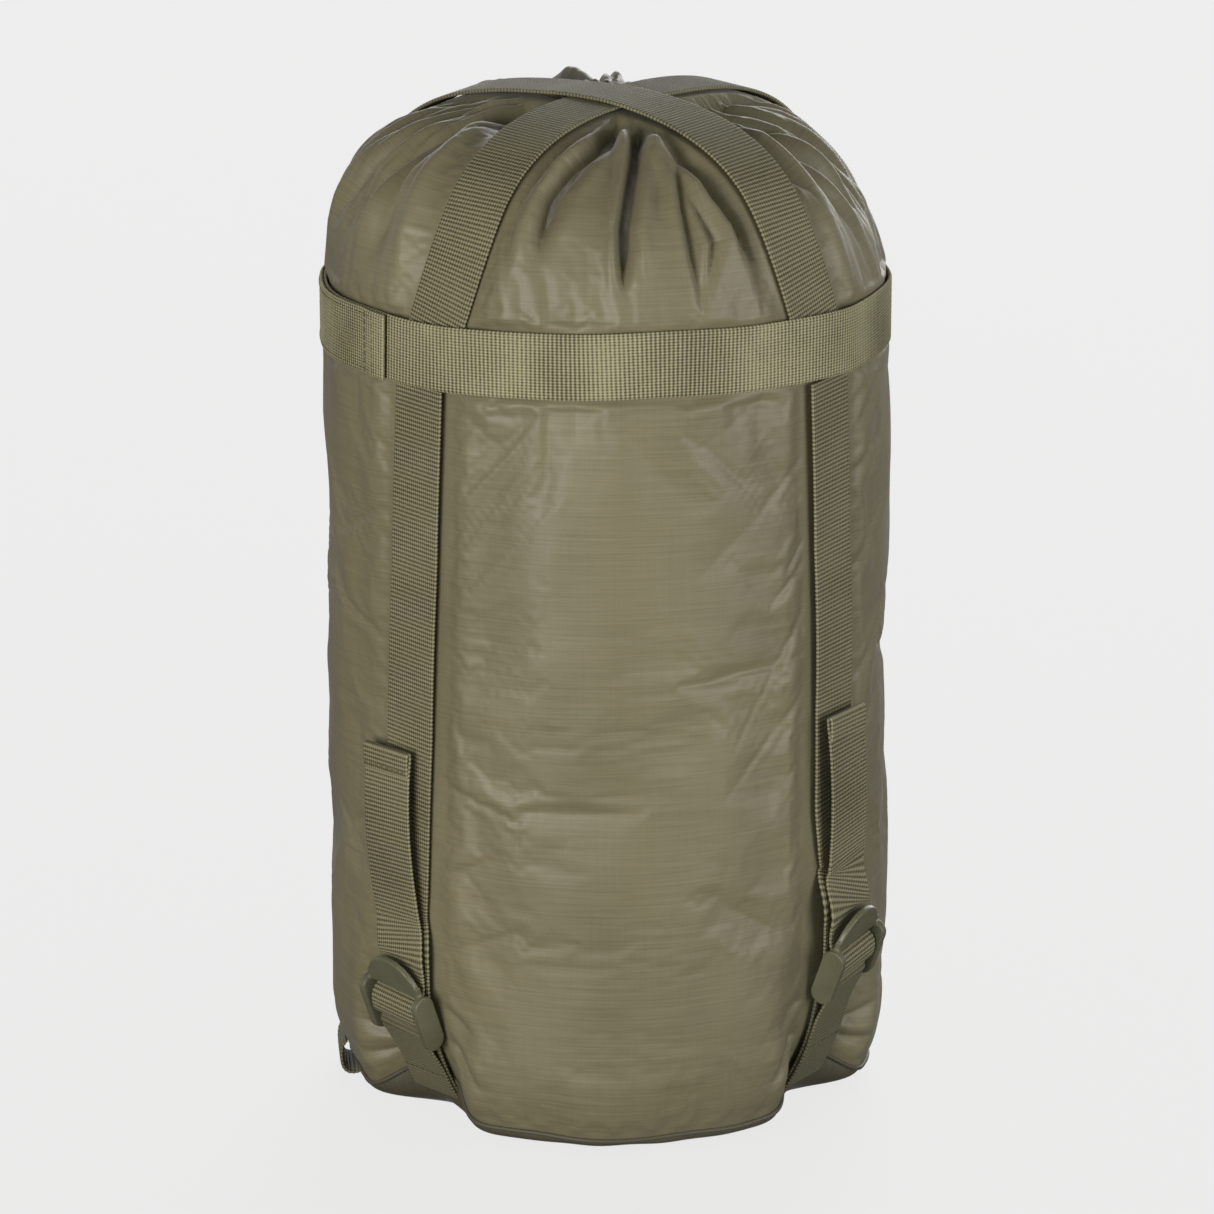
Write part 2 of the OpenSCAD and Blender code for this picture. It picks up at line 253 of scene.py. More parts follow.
def slanted_fold(az, v, start, end, depth, width):
    """A shallow straight fold of the wall. Its ends are given as azimuth and distance from the seam."""
    mid = (start[0] + end[0]) / 2
    scale = math.radians(1) * BODY_R
    x = (np.remainder(az - mid + 180, 360) - 180) * scale
    ax, bx = (start[0] - mid) * scale, (end[0] - mid) * scale
    dx, dv = bx - ax, end[1] - start[1]
    long = math.hypot(dx, dv)
    along = ((x - ax) * dx + (v - start[1]) * dv) / long ** 2
    side = ((x - ax) * dv - (v - start[1]) * dx) / long
    fade = smooth(along / 0.35 + 0.4) * smooth((1 - along) / 0.5 + 0.2) * (along > -0.2) * (along < 1.2)
    return depth * fade * fold_profile(side, width, width * 1.5)


# Folds of the crown at the front: azimuths and distances from the seam, depth, half width to left and right
FRONT_FOLDS = [
    ([(-70.5, 358), (-69, 374), (-67.5, 392), (-65, 408), (-61, 430)], 8.0, 2.0, 3.6),
    ([(-46, 402), (-51, 416), (-56, 432)], 6.0, 2.4, 3.0),
    ([(-86, 346), (-82, 368), (-78, 392), (-74, 428)], 5.0, 1.6, 3.4),
    ([(-76, 344), (-74.5, 362), (-72.5, 384)], 3.2, 1.4, 3.2),
    ([(-62, 336), (-60.5, 362), (-58.5, 396)], 3.0, 2.2, 4.2),
    ([(-94, 350), (-91, 380), (-86, 424)], 4.6, 1.8, 3.0),
    ([(-18, 352), (-15.5, 372), (-10.5, 388), (-3, 402), (4, 424)], 7.6, 2.4, 3.6),
    ([(-1, 338), (0.5, 358), (4.5, 382), (8, 402), (11, 430)], 10.5, 1.7, 2.5),
    ([(2.5, 336), (2.5, 350)], 1.6, 1.4, 1.8),
    ([(14, 322), (14, 346), (15, 366), (17, 386)], 4.4, 1.5, 2.4),
    ([(16, 334), (18.8, 350), (17.6, 368)], 3.6, 1.3, 2.0),
    ([(27.5, 338), (26, 354), (21.5, 380), (16, 406), (14, 428)], 8.5, 1.8, 3.4),
    ([(24.5, 346), (25.5, 358)], 2.4, 1.4, 1.8),
    ([(9, 368), (10, 382)], 2.4, 2.0, 3.0),
    ([(-24.5, 336), (-25.5, 360), (-21, 386), (-14, 408)], 2.6, 2.6, 4.2),
    ([(-9, 322), (-8, 344)], 0.9, 2.5, 3.5),
    ([(43, 406), (47, 386), (52, 364)], 4.6, 1.7, 3.0),
    ([(57, 420), (62, 396), (68, 370), (73, 348)], 5.4, 1.6, 3.2),
    ([(50, 414), (56, 392), (60, 370)], 3.8, 1.5, 2.8),
    ([(66, 410), (73, 386), (79, 362)], 3.6, 1.5, 2.8),
    ([(80, 402), (84, 376), (88, 346)], 4.2, 1.6, 3.0),
]

FOLD_GAIN = 1.15
SIDE_FOLD_AZ = 40
SIDE_FOLD_WIDTH = 1.9


def crown_folds(az, v, r):
    """The drawn folds at the front, and seeded ones of the same kind round the back."""
    total = np.zeros(np.broadcast(az, v).shape)
    for line, depth, left, right in FRONT_FOLDS:
        broad = SIDE_FOLD_WIDTH if abs(line[0][0]) > SIDE_FOLD_AZ else 1.0
        total += radial_fold(az, v, r, line, depth * FOLD_GAIN, left * broad, right * broad)
    g = np.random.default_rng(5)
    a = 97.0
    while a < 268:
        low = g.uniform(336, 385)
        lean = g.uniform(-7, 7)
        depth = g.uniform(4.0, 8.5) * (0.6 + 0.4 * (385 - low) / 49)
        line = [(a + lean, low), (a + lean * 0.4, (low + 420) / 2), (a, g.uniform(418, 432))]
        left, right = g.uniform(1.5, 2.4), g.uniform(2.2, 3.6)
        if g.random() < 0.5:
            left, right = right, left
        total += radial_fold(az, v, r, line, depth, left, right)
        a += g.uniform(8, 17)
    return total


def side_gathers(az, v, r):
    """Broad ridges with sharp valleys that run up the sides and back of the crown."""
    wander = 9 * waves(az, v, 6, 2, 7, 420, 61)
    ridge = np.abs(np.sin(np.radians(az * 9 + wander * 5))) ** 0.8 - 0.66
    fine = np.abs(np.sin(np.radians(az * 21 + wander * 9 + 30))) - 0.62
    away = smooth((np.abs(az) - 46) / 8)
    grow = smooth((v - 318) / 62) * np.minimum(1, r / 55)
    return away * grow * (6.0 * ridge + 2.3 * fine)


def pleat_wander(az, v):
    """How the pleats drift sideways, the same on the crown and on the mouth's hem."""
    return 7 * waves(az, v * 0, 5, 2, 9, 1e6, 21) + 3 * waves(az, v, 4, 4, 12, 160, 22)


def mouth_pleats(az, v, r):
    """Narrow pleats that grow towards the mouth, where all the cloth is gathered."""
    wander = pleat_wander(az, v)
    phase = np.radians(az * 17 + wander * 4.2)
    ridge = np.abs(np.sin(phase)) - 0.62
    wide = np.abs(np.sin(np.radians(az * 8 + wander * 2.6 + 20))) - 0.6
    grow = smooth((v - 388) / 46)
    return 3.0 * grow * ridge * np.minimum(1, r / 34) + 2.0 * smooth((v - 352) / 60) * wide


# Shallow folds of the wall beside the straps: two ends as azimuth and distance from the seam, depth and width
WALL_FOLDS = [
    ((39.4, 206), (20, 150), 0.9, 3.6),
    ((39.2, 232), (33, 219), 1.7, 1.4),
    ((39.2, 224), (30, 208), 1.1, 1.5),
    ((39.2, 186), (12, 181), 0.7, 2.4),
    ((37, 262), (8, 214), 0.8, 6.0),
    ((39, 172), (19, 134), 0.7, 4.5),
    ((30, 292), (4, 262), 0.6, 5.0),
    ((57, 272), (70, 288), 1.0, 1.8),
    ((60, 244), (78, 270), 0.9, 1.8),
    ((56, 214), (72, 236), 0.8, 1.6),
    ((58, 172), (76, 198), 0.9, 1.6),
    ((55, 140), (71, 160), 0.8, 1.8),
    ((54, 250), (64, 262), 0.9, 1.5),
    ((-39.5, 138), (-24, 128), 0.9, 2.2),
    ((-39.5, 100), (-28, 112), 0.8, 2.6),
    ((-39, 292), (-26, 272), 0.7, 3.2),
    ((-39, 70), (-22, 84), 0.9, 3.6),
    ((38, 70), (20, 92), 0.9, 3.6),
    ((-57, 240), (-74, 224), 0.6, 2.0),
    ((-58, 190), (-80, 206), 0.7, 2.0),
    ((-57, 120), (-72, 106), 0.7, 2.4),
]

# Pinches beside a strap's foot: degrees outwards from the strap and distance from the seam, depth and width
FOOT_FOLDS = [
    ((-9, 31), (-20, 15), 2.6, 2.2),
    ((-8, 46), (-18, 37), 1.6, 1.8),
    ((-8, 18), (-14, 8), 1.8, 1.8),
    ((8, 22), (17, 30), 2.0, 1.6),
    ((8, 13), (18, 15), 2.0, 1.6),
    ((8, 34), (15, 45), 1.3, 1.6),
]


def wall_folds(az, v):
    """The pinches at the strap feet, the drawn folds beside the straps, and seeded ones round the back."""
    total = np.zeros(np.broadcast(az, v).shape)
    for corner, outward in ((1, 1), (0, -1), (2, -1), (3, 1)):
        strap = CORNER_AZ[corner]
        for (a, low), (b, high), depth, width in FOOT_FOLDS:
            start, end = (strap + a * outward, low), (strap + b * outward, high)
            total += slanted_fold(az, v, start, end, depth, width)
    for start, end, depth, width in WALL_FOLDS:
        total += slanted_fold(az, v, start, end, depth, width)
    g = np.random.default_rng(8)
    for _ in range(46):
        a, low = g.uniform(84, 276), g.uniform(40, 285)
        slant = g.uniform(-34, 34)
        run = g.uniform(9, 26) * g.choice([-1, 1])
        depth, width = g.uniform(0.4, 1.1), g.uniform(1.6, 4.2)
        total += slanted_fold(az, v, (a, low), (a + run, low + slant), depth, width)
    return total


def edge_puckers(az, v):
    """Small gathers where the cloth is sewn under the belt, and along the base seam."""
    below, above = V_BELT - WEB_HALF - 0.5 - v, v - V_BELT - WEB_HALF - 0.5
    gather = np.abs(np.sin(np.radians(az * 33 + 9 * waves(az, v * 0, 6, 3, 11, 1e6, 31)))) - 0.6
    strength = 0.5 + 0.5 * np.clip(waves(az, v * 0, 5, 2, 7, 1e6, 32), -1, 1)
    reach = (np.where(below > 0, np.exp(-np.maximum(below, 0) / 9), 0)
             + np.where(above > 0, np.exp(-np.maximum(above, 0) / 12), 0))
    seam = np.exp(-np.maximum(v, 0) / 11)
    pinch = np.abs(np.sin(np.radians(az * 24 + 10 * waves(az, v * 0, 6, 3, 9, 1e6, 33)))) - 0.6
    return 1.5 * gather * strength * reach + 0.8 * pinch * seam * smooth((v - 1) / 4)


# How far the crown sinks at its shoulder and top, and more on its right side; how far a lobe's lower edge
# drops; and how far the belt squeezes the cloth
SHOULDER_SAG = 2.0
TOP_SAG = 2.4
RIGHT_AZ = 76
RIGHT_SAG = 2.2
LOBE_EDGE = 1.5
BELT_SQUEEZE = 1.9


def lobe_swell(z):
    """How far the cloth between two straps bulges past the plain outline near the base."""
    lobe = BODY_R + 0.6 - 11.5 * np.maximum(0, 1 - z / 33) ** 2
    return np.maximum(0, lobe - wall_r(z)) * smooth((105 - z) / 70)


def at_lobes(az, q):
    """1 on the cloth that bulges between two straps, 0 beside a strap and behind the haul loop."""
    return smooth((q - 13) / 24) * (1 - 0.85 * bump(az - LOOP_AZ, 13))


def groove_half(z):
    """Half the width of the groove that a strap presses into the cloth, wider at its foot."""
    return 19 + 9 * bump(z - 45, 34)


def groove(q, r, z, nr, power):
    """Depth of the cloth in the groove at a distance q from the strap, as a negative height."""
    depth = -groove_depth(z) * np.maximum(nr, 0)
    return depth * np.exp(-((q / groove_half(z)) ** power)) * smooth((r - 26) / 16)


def cloth_relief(az, v, folded=True):
    """Height of the cloth above the plain outline, along its outward direction."""
    r, z, nr, _ = at_outline(v)
    q = strap_gap(az, r, z)
    half = groove_half(z)
    floor = groove(q, r, z, nr, 5)
    free = smooth((q - WEB_HALF) / 9)
    under_belt = 1 - smooth((np.abs(v - V_BELT) - WEB_HALF) / 5)
    low_dome = smooth((v - V_BELT - 14) / 30) * smooth((V_END - 62 - v) / 40)
    pillow = np.exp(-(((q - half * 1.25) / 8) ** 2)) * (1.1 + 1.2 * low_dome)
    billow = 0.75 * waves(az, v, 7, 3, 9, 330, 1) + 0.35 * waves(az, v, 8, 9, 22, 120, 2)
    lobes = lobe_swell(z) * at_lobes(az, q) * (1 - 0.2 * smooth((q - 42) / 36))
    dome = smooth((v - V_BELT - 8) / 40)
    folds = crown_folds(az, v, r) + mouth_pleats(az, v, r) + side_gathers(az, v, r) if folded else 0
    right = bump(az - RIGHT_AZ, 30)
    top = smooth((v - V_BELT - 84) / 30)
    swell = -SHOULDER_SAG * bump(v - V_BELT - 78, 42) - (TOP_SAG + RIGHT_SAG * right) * top
    swell -= 1.9 * right * smooth((v - V_BELT + 60) / 70)
    relief = billow + pillow + lobes + wall_folds(az, v) + edge_puckers(az, v) + dome * folds + swell
    squeeze = -BELT_SQUEEZE * (1 - smooth((np.abs(v - V_BELT) - 10.5) / 6)) * free
    return floor + relief * free * (1 - under_belt) + squeeze


def sack_point(az, v, lift):
    """Points of the sack's cloth, lifted off the plain outline."""
    r, z, nr, nz = at_outline(v)
    radius = r + nr * lift
    q = strap_gap(az, r, z)
    foot = (3 * bump(q, 17) + 2 * bump(q, 30)) * np.exp(-((np.maximum(v, 0) / 14) ** 2)) * (z < 60)
    edge = LOBE_EDGE * smooth((q - 13) / 34) * np.exp(-((np.maximum(v, 0) / 13) ** 2)) * (z < 60)
    height = z + nz * lift + foot - edge
    above = np.maximum(0, height - MOUTH_Z - 1)
    height = height - above + 4.0 * np.tanh(above / 4.0)
    free = smooth((q - 13) / 12)
    lean = -4.0 * smooth((z - 325) / 55) * smooth((r - 30) / 30) * free
    points = polar(np.radians(az), radius, height)
    points[..., 0] += lean
    return points


# ---- meshes ----

def make_mesh(name, points, quads, triangles=None, uvs=None):
    """A mesh object in metres from points in millimetres. uvs has one row per point."""
    triangles = np.zeros((0, 3), int) if triangles is None else np.asarray(triangles)
    quads = np.asarray(quads).reshape(-1, 4)
    mesh = bpy.data.meshes.new(name)
    mesh.vertices.add(len(points))
    mesh.vertices.foreach_set("co", (np.asarray(points, float) * MM).astype(np.float32).ravel())
    corners = np.concatenate([quads.ravel(), triangles.ravel()]).astype(np.int32)
    mesh.loops.add(len(corners))
    mesh.loops.foreach_set("vertex_index", corners)
    starts = np.concatenate([np.arange(len(quads)) * 4, len(quads) * 4 + np.arange(len(triangles)) * 3])
    mesh.polygons.add(len(starts))
    mesh.polygons.foreach_set("loop_start", starts.astype(np.int32))
    mesh.update(calc_edges=True)
    mesh.polygons.foreach_set("use_smooth", np.ones(len(starts), bool))
    if uvs is not None:
        layer = mesh.uv_layers.new(name="UVMap")
        layer.data.foreach_set("uv", (np.asarray(uvs, float) * MM)[corners].astype(np.float32).ravel())
    mesh.validate()
    made = bpy.data.objects.new(name, mesh)
    bpy.context.scene.collection.objects.link(made)
    return made


def grid_quads(rows, columns, closed):
    """Faces of a grid with this many points; closed joins the last column to the first."""
    i, j = np.meshgrid(np.arange(rows - 1), np.arange(columns if closed else columns - 1), indexing="ij")
    a, b = i * columns + j, i * columns + (j + 1) % columns
    return np.stack([a, b, b + columns, a + columns], -1).reshape(-1, 4)


def closed_mesh(name, points, quads, uvs=None):
    """A mesh of quads that closes, with its faces turned outwards."""
    made = make_mesh(name, points, quads, uvs=uvs)
    a, b, c, d = (points[quads[:, k]] for k in range(4))
    volume = np.einsum("ij,ij->i", a, np.cross(b, c)) + np.einsum("ij,ij->i", a, np.cross(c, d))
    if volume.sum() < 0:
        made.data.flip_normals()
    return made


def fan(middle, first, count):
    """Triangles from a middle point to a ring of points that starts at first."""
    return [(middle, first + i, first + (i + 1) % count) for i in range(count)]


def read_points(mesh):
    """A mesh's vertices, in millimetres."""
    co = np.zeros(len(mesh.vertices) * 3, np.float32)
    mesh.vertices.foreach_get("co", co)
    return co.reshape(-1, 3).astype(float) / MM


def write_points(mesh, points):
    mesh.vertices.foreach_set("co", (points * MM).astype(np.float32).ravel())
    mesh.update()


def cloth_mesh(name, az, v, points):
    """A tube of cloth. Its flat layout has a doubled column where it starts, so that the texture has no fault."""
    points = np.concatenate([points, points[:, :1]], 1)
    across = np.radians(np.append(az, az[0] + 360)) * BODY_R
    uvs = np.stack(np.broadcast_arrays(across[None, :], v[:, None]), -1)
    rows, columns = points.shape[:2]
    made = make_mesh(name, points.reshape(-1, 3), grid_quads(rows, columns, False), uvs=uvs.reshape(-1, 2))
    made.modifiers.new("weld", "WELD").merge_threshold = 0.00001
    return apply_modifiers(made)


def apply_modifiers(made):
    bpy.context.view_layer.update()
    evaluated = made.evaluated_get(bpy.context.evaluated_depsgraph_get())
    mesh = bpy.data.meshes.new_from_object(evaluated)
    made.modifiers.clear()
    made.data = mesh
    return made


def join(name, parts):
    """One object from several."""
    with bpy.context.temp_override(
        active_object=parts[0], object=parts[0], selected_objects=parts, selected_editable_objects=parts
    ):
        bpy.ops.object.join()
    parts[0].name = name
    return parts[0]


def along(points, spacing, others=()):
    """Points at even spacing on a smooth curve through points, with the rows of others carried along."""
    points = np.asarray(points, float)
    table = np.concatenate([points] + [np.asarray(o, float) for o in others], 1)
    first, last = 2 * table[0] - table[1], 2 * table[-1] - table[-2]
    p = np.concatenate([[first], table, [last]])
    t = np.linspace(0, 1, 17)[:-1, None]
    dense = []
    for i in range(len(table) - 1):
        a, b, c, d = p[i:i + 4]
        gap = np.linalg.norm(c[:3] - b[:3])
        into = (c - a) * gap / max(np.linalg.norm((c - a)[:3]), 1e-6)
        out = (d - b) * gap / max(np.linalg.norm((d - b)[:3]), 1e-6)
        dense.append((2 * t ** 3 - 3 * t ** 2 + 1) * b + (t ** 3 - 2 * t ** 2 + t) * into
                     + (-2 * t ** 3 + 3 * t ** 2) * c + (t ** 3 - t ** 2) * out)
    dense = np.concatenate(dense + [table[-1:]])
    s = np.concatenate([[0], np.cumsum(np.linalg.norm(np.diff(dense[:, :3], axis=0), axis=1))])
    count = max(3, int(round(s[-1] / spacing)) + 1)
    want = np.linspace(0, s[-1], count)
    even = np.stack([np.interp(want, s, dense[:, k]) for k in range(dense.shape[1])], -1)
    return even, want


WEB_SPACING = 0.4
WEB_RELIEF = 0.13


def webbing(name, table, s, start=0.0, width=WEB_W):
    """Woven webbing along a table of points and width directions at distances s, as along() gives them.
    The ribs of the weave are in the mesh, and start is where their count begins."""
    path, side = table[:, :3], unit(table[:, 3:6])
    tangent = unit(np.gradient(path, axis=0))
    side = unit(side - tangent * (side * tangent).sum(-1, keepdims=True))
    face = np.cross(side, tangent)
    half = width / 2
    a = np.concatenate([[-half, -half + 0.22], np.linspace(-half + 0.7, half - 0.7, 23), [half - 0.22, half]])
    edge = np.clip((np.abs(a) - (half - 0.8)) / 0.8, 0, 1)
    round_off = np.sqrt(np.maximum(0.06, 1 - edge ** 2))
    rib = np.cos(2 * math.pi * (s + start) / RIB)[:, None]
    column = np.cos(2 * math.pi * a / (2 * COLUMN))[None, :]
    swell = WEB_RELIEF * (0.55 * rib + 0.2 * column + 0.25 * rib * column)
    bead = 1 + 0.011 * rib * (edge > 0.1)
    rows, columns = len(s), len(a)
    middle = path[:, None, :] + side[:, None, :] * (a[None, :, None] * bead[..., None])
    height = (WEB_T / 2 - WEB_RELIEF * 0.5 + swell) * round_off[None, :]
    top = middle + face[:, None, :] * height[..., None]
    low = middle - face[:, None, :] * height[..., None]
    ring = np.concatenate([top, low[:, ::-1]], 1)
    count = 2 * columns
    uv_a = np.concatenate([a, a[::-1]])
    uvs = np.stack(np.broadcast_arrays(uv_a[None, :], (s + start)[:, None]), -1).reshape(-1, 2)
    verts = ring.reshape(-1, 3)
    quads = grid_quads(rows, count, True)
    caps = []
    for row in (0, rows - 1):
        k = row * count
        strip = [(k + i, k + i + 1, k + count - 2 - i, k + count - 1 - i) for i in range(columns - 1)]
        caps += strip if row else [q[::-1] for q in strip]
    quads = np.concatenate([quads[:, ::-1], np.array(caps)[:, ::-1]])
    return closed_mesh(name, verts, quads, uvs)


STITCH = 2.3
STITCH_PITCH = 3.2
THREAD_R = 0.26


def stitches(name, path, across, lift):
    """A row of thread stitches along path. across points out of the cloth."""
    table, _ = along(path, STITCH_PITCH, [across])
    centre = table[:, :3] + unit(table[:, 3:6]) * lift
    tangent, up = unit(np.gradient(table[:, :3], axis=0)), unit(table[:, 3:6])
    side = np.cross(tangent, up)
    steps, sides = 5, 6
    t = np.linspace(0, math.pi, steps)
    f = np.linspace(0, 2 * math.pi, sides, endpoint=False)
    x = -np.cos(t)[:, None] * STITCH / 2 * np.ones(sides)
    y = (np.sin(t)[:, None] * 0.9 + 0.12) * THREAD_R * np.cos(f)
    z = (np.sin(t)[:, None] * 0.9 + 0.12) * THREAD_R * np.sin(f)
    local = np.stack([x, y, z], -1).reshape(-1, 3)
    verts = (centre[:, None, :] + tangent[:, None, :] * local[None, :, :1]
             + side[:, None, :] * local[None, :, 1:2] + up[:, None, :] * local[None, :, 2:3])
    one = grid_quads(steps, sides, True)
    quads = (one[None] + (np.arange(len(centre)) * steps * sides)[:, None, None]).reshape(-1, 4)
    return make_mesh(name, verts.reshape(-1, 3), quads)


# ---- materials ----

def srgb(r, g, b):
    """A colour given in sRGB bytes as the linear values that Blender takes."""
    out = [((c / 255 + 0.055) / 1.055) ** 2.4 if c > 10 else c / 255 / 12.92 for c in (r, g, b)]
    return (*out, 1.0)


class Nodes:
    """A small helper that builds a material's node tree."""

    def __init__(self, name):
        self.material = bpy.data.materials.new(name)
        self.material.use_nodes = True
        self.tree = self.material.node_tree
        self.shader = self.tree.nodes["Principled BSDF"]

    def add(self, kind, **values):
        node = self.tree.nodes.new(kind)
        for key, value in values.items():
            setattr(node, key, value)
        return node

    def link(self, a, b):
        self.tree.links.new(a, b)

    def uv(self, across=1.0, along_it=1.0):
        """The flat layout, in metres, scaled in its two directions."""
        place = self.add("ShaderNodeTexCoord")
        mapping = self.add("ShaderNodeMapping")
        mapping.inputs["Scale"].default_value = (across, along_it, 1)
        self.link(place.outputs["UV"], mapping.inputs["Vector"])
        return mapping.outputs["Vector"]

    def solid(self):
        """The place in the object itself, in metres."""
        return self.add("ShaderNodeTexCoord").outputs["Object"]

    def noise(self, vector, scale, detail, roughness):
        node = self.add("ShaderNodeTexNoise")
        for key, value in (("Scale", scale), ("Detail", detail), ("Roughness", roughness)):
            node.inputs[key].default_value = value
        self.link(vector, node.inputs["Vector"])
        return node.outputs["Fac"]

    def math(self, operation, *values):
        node = self.add("ShaderNodeMath", operation=operation)
        for socket, value in zip(node.inputs, values):
            if isinstance(value, (int, float)):
                socket.default_value = value
            else:
                self.link(value, socket)
        return node.outputs[0]

    def weighted(self, total, *shares):
        """total plus each source times its share."""
        for source, share in shares:
            total = self.math("ADD", self.math("MULTIPLY", source, share), total)
        return total

    def ramp(self, factor, stops):
        node = self.add("ShaderNodeValToRGB")
        while len(node.color_ramp.elements) < len(stops):
            node.color_ramp.elements.new(0.5)
        for element, (at, colour) in zip(node.color_ramp.elements, stops):
            element.position, element.color = at, colour
        self.link(factor, node.inputs["Fac"])
        return node.outputs["Color"]

    def bump(self, height, strength, distance, after=None):
        node = self.add("ShaderNodeBump")
        node.inputs["Strength"].default_value = strength
        node.inputs["Distance"].default_value = distance
        self.link(height, node.inputs["Height"])
        if after is not None:
            self.link(after, node.inputs["Normal"])
        return node.outputs["Normal"]

    def finish(self, colour, normal=None, roughness=None, **values):
        for source, key in ((colour, "Base Color"), (normal, "Normal"), (roughness, "Roughness")):
            if source is not None:
                self.link(source, self.shader.inputs[key])
        for key, value in values.items():
            self.shader.inputs[key.replace("_", " ")].default_value = value
        return self.material


def taffeta(name, dark, mid, light, shine=0.45):
    """Thin woven nylon: fine threads with slubs, soft patches of colour and a satin sheen."""
    m = Nodes(name)
    slub = m.noise(m.uv(26, 1250), 1.0, 4, 0.62)
    warp = m.noise(m.uv(1500, 20), 1.0, 3, 0.6)
    patch = m.noise(m.uv(12, 7), 1.0, 3, 0.5)
    threads = m.weighted(0, (slub, 0.8), (warp, 0.2))
    colour = m.ramp(m.weighted(0, (threads, 0.55), (patch, 0.45)), [(0.36, dark), (0.5, mid), (0.64, light)])
    crinkle = m.noise(m.uv(95, 60), 1.0, 5, 0.55)
    normal = m.bump(crinkle, 0.26, 0.0012, m.bump(threads, 0.12, 0.0002))
    rough = m.weighted(shine - 0.07, (patch, 0.14))
    return m.finish(colour, normal, rough, Sheen_Weight=0.4, Sheen_Roughness=0.3,
                    Sheen_Tint=srgb(226, 218, 224), Specular_IOR_Level=0.42)


def woven(name, dark, mid, light, gap_shade=1.0, zones=0.45):
    """Ribbed webbing: rows of beads lined up with the ribs of the mesh, with painted shade in the gaps between the
    rows and painted highlight on the beads.
    """
    m = Nodes(name)
    split = m.add("ShaderNodeSeparateXYZ")
    m.link(m.uv(), split.inputs[0])
    row = m.math("COSINE", m.math("MULTIPLY", split.outputs[1], 2 * math.pi / (RIB * MM)))
    column = m.math("COSINE", m.math("MULTIPLY", split.outputs[0], 2 * math.pi / (COLUMN * MM)))
    bead = m.weighted(0, (row, 0.27), (column, 0.19))
    fuzz = m.noise(m.uv(900, 900), 1.0, 4, 0.6)
    patch = m.noise(m.uv(18, 26), 1.0, 3, 0.5)
    # Painted shade and highlight: the bead pattern darkens the colour in the gaps between the rows and lightens it
    # on the beads; fuzz and patch are the webbing's own uneven tone.
    tone = m.weighted(0.25 - 0.5 * zones, (bead, gap_shade), (fuzz, 0.5), (patch, zones))
    colour = m.ramp(tone, [(0.12, dark), (0.46, mid), (0.86, light)])
    normal = m.bump(m.weighted(bead, (fuzz, 0.35)), 0.55, 0.00045)
    return m.finish(colour, normal, Roughness=0.62, Sheen_Weight=0.2, Sheen_Roughness=0.45,
                    Sheen_Tint=srgb(210, 208, 190), Specular_IOR_Level=0.35)


def moulded(name, mid, light, roughness=0.36):
    """Moulded plastic with a fine grain and faint uneven tone."""
    m = Nodes(name)
    fine = m.noise(m.solid(), 900, 3, 0.5)
    patch = m.noise(m.solid(), 60, 2, 0.5)
    colour = m.ramp(m.weighted(0, (fine, 0.3), (patch, 0.7)), [(0.35, mid), (0.65, light)])
    rough = m.weighted(roughness - 0.06, (patch, 0.12))
    return m.finish(colour, m.bump(fine, 0.12, 0.0003), rough, Specular_IOR_Level=0.5)


def plain_noise(name, dark, light, scale, roughness, metallic=0.0, bump_depth=0.0005):
    """A matt or shiny material with an even grain."""
    m = Nodes(name)
    grain = m.noise(m.solid(), scale, 4, 0.6)
    colour = m.ramp(grain, [(0.35, dark), (0.65, light)])
    return m.finish(colour, m.bump(grain, 0.4, bump_depth), Roughness=roughness, Metallic=metallic)


SACK = taffeta("sack_nylon", srgb(121, 114, 88), srgb(134, 127, 99), srgb(147, 139, 108))
# Painted shade: the base panel and its piping get a darker copy of the sack's nylon, for the shade that falls on the
# downward-facing foot of the sack.
BASE_NYLON_SHADED = taffeta("base_nylon_painted_shade", srgb(78, 74, 58), srgb(90, 85, 67), srgb(103, 97, 77), 0.5)
# Belt, straps and anchors: woven colours with painted shade in the rib gaps and painted highlight on the beads.
BELT = woven("belt_weave", srgb(76, 70, 49), srgb(146, 141, 108), srgb(186, 181, 143), 1.0, 0.95)
STRAP = woven("strap_weave", srgb(62, 56, 40), srgb(123, 117, 88), srgb(164, 158, 124))
FINE = woven("anchor_weave", srgb(66, 60, 43), srgb(108, 103, 78), srgb(142, 137, 106), 0.5)
LOCK = moulded("lock_plastic", srgb(106, 104, 81), srgb(120, 118, 93))
CORD_LOCK = moulded("cord_lock_plastic", srgb(34, 34, 31), srgb(42, 42, 38), 0.45)
CORD = plain_noise("cord_braid", srgb(38, 37, 30), srgb(62, 60, 48), 1600, 0.7)
STEEL = plain_noise("spring_steel", srgb(150, 150, 152), srgb(176, 176, 178), 900, 0.3, 1.0, 0.00005)
STUFFING = plain_noise("stuffing_cloth", srgb(120, 116, 104), srgb(146, 141, 127), 180, 0.85, 0.0, 0.0015)
THREAD = plain_noise("thread", srgb(92, 89, 66), srgb(124, 121, 93), 2600, 0.6)


def dress(made, material):
    made.data.materials.clear()
    made.data.materials.append(material)
    return made


# ---- cloth ----

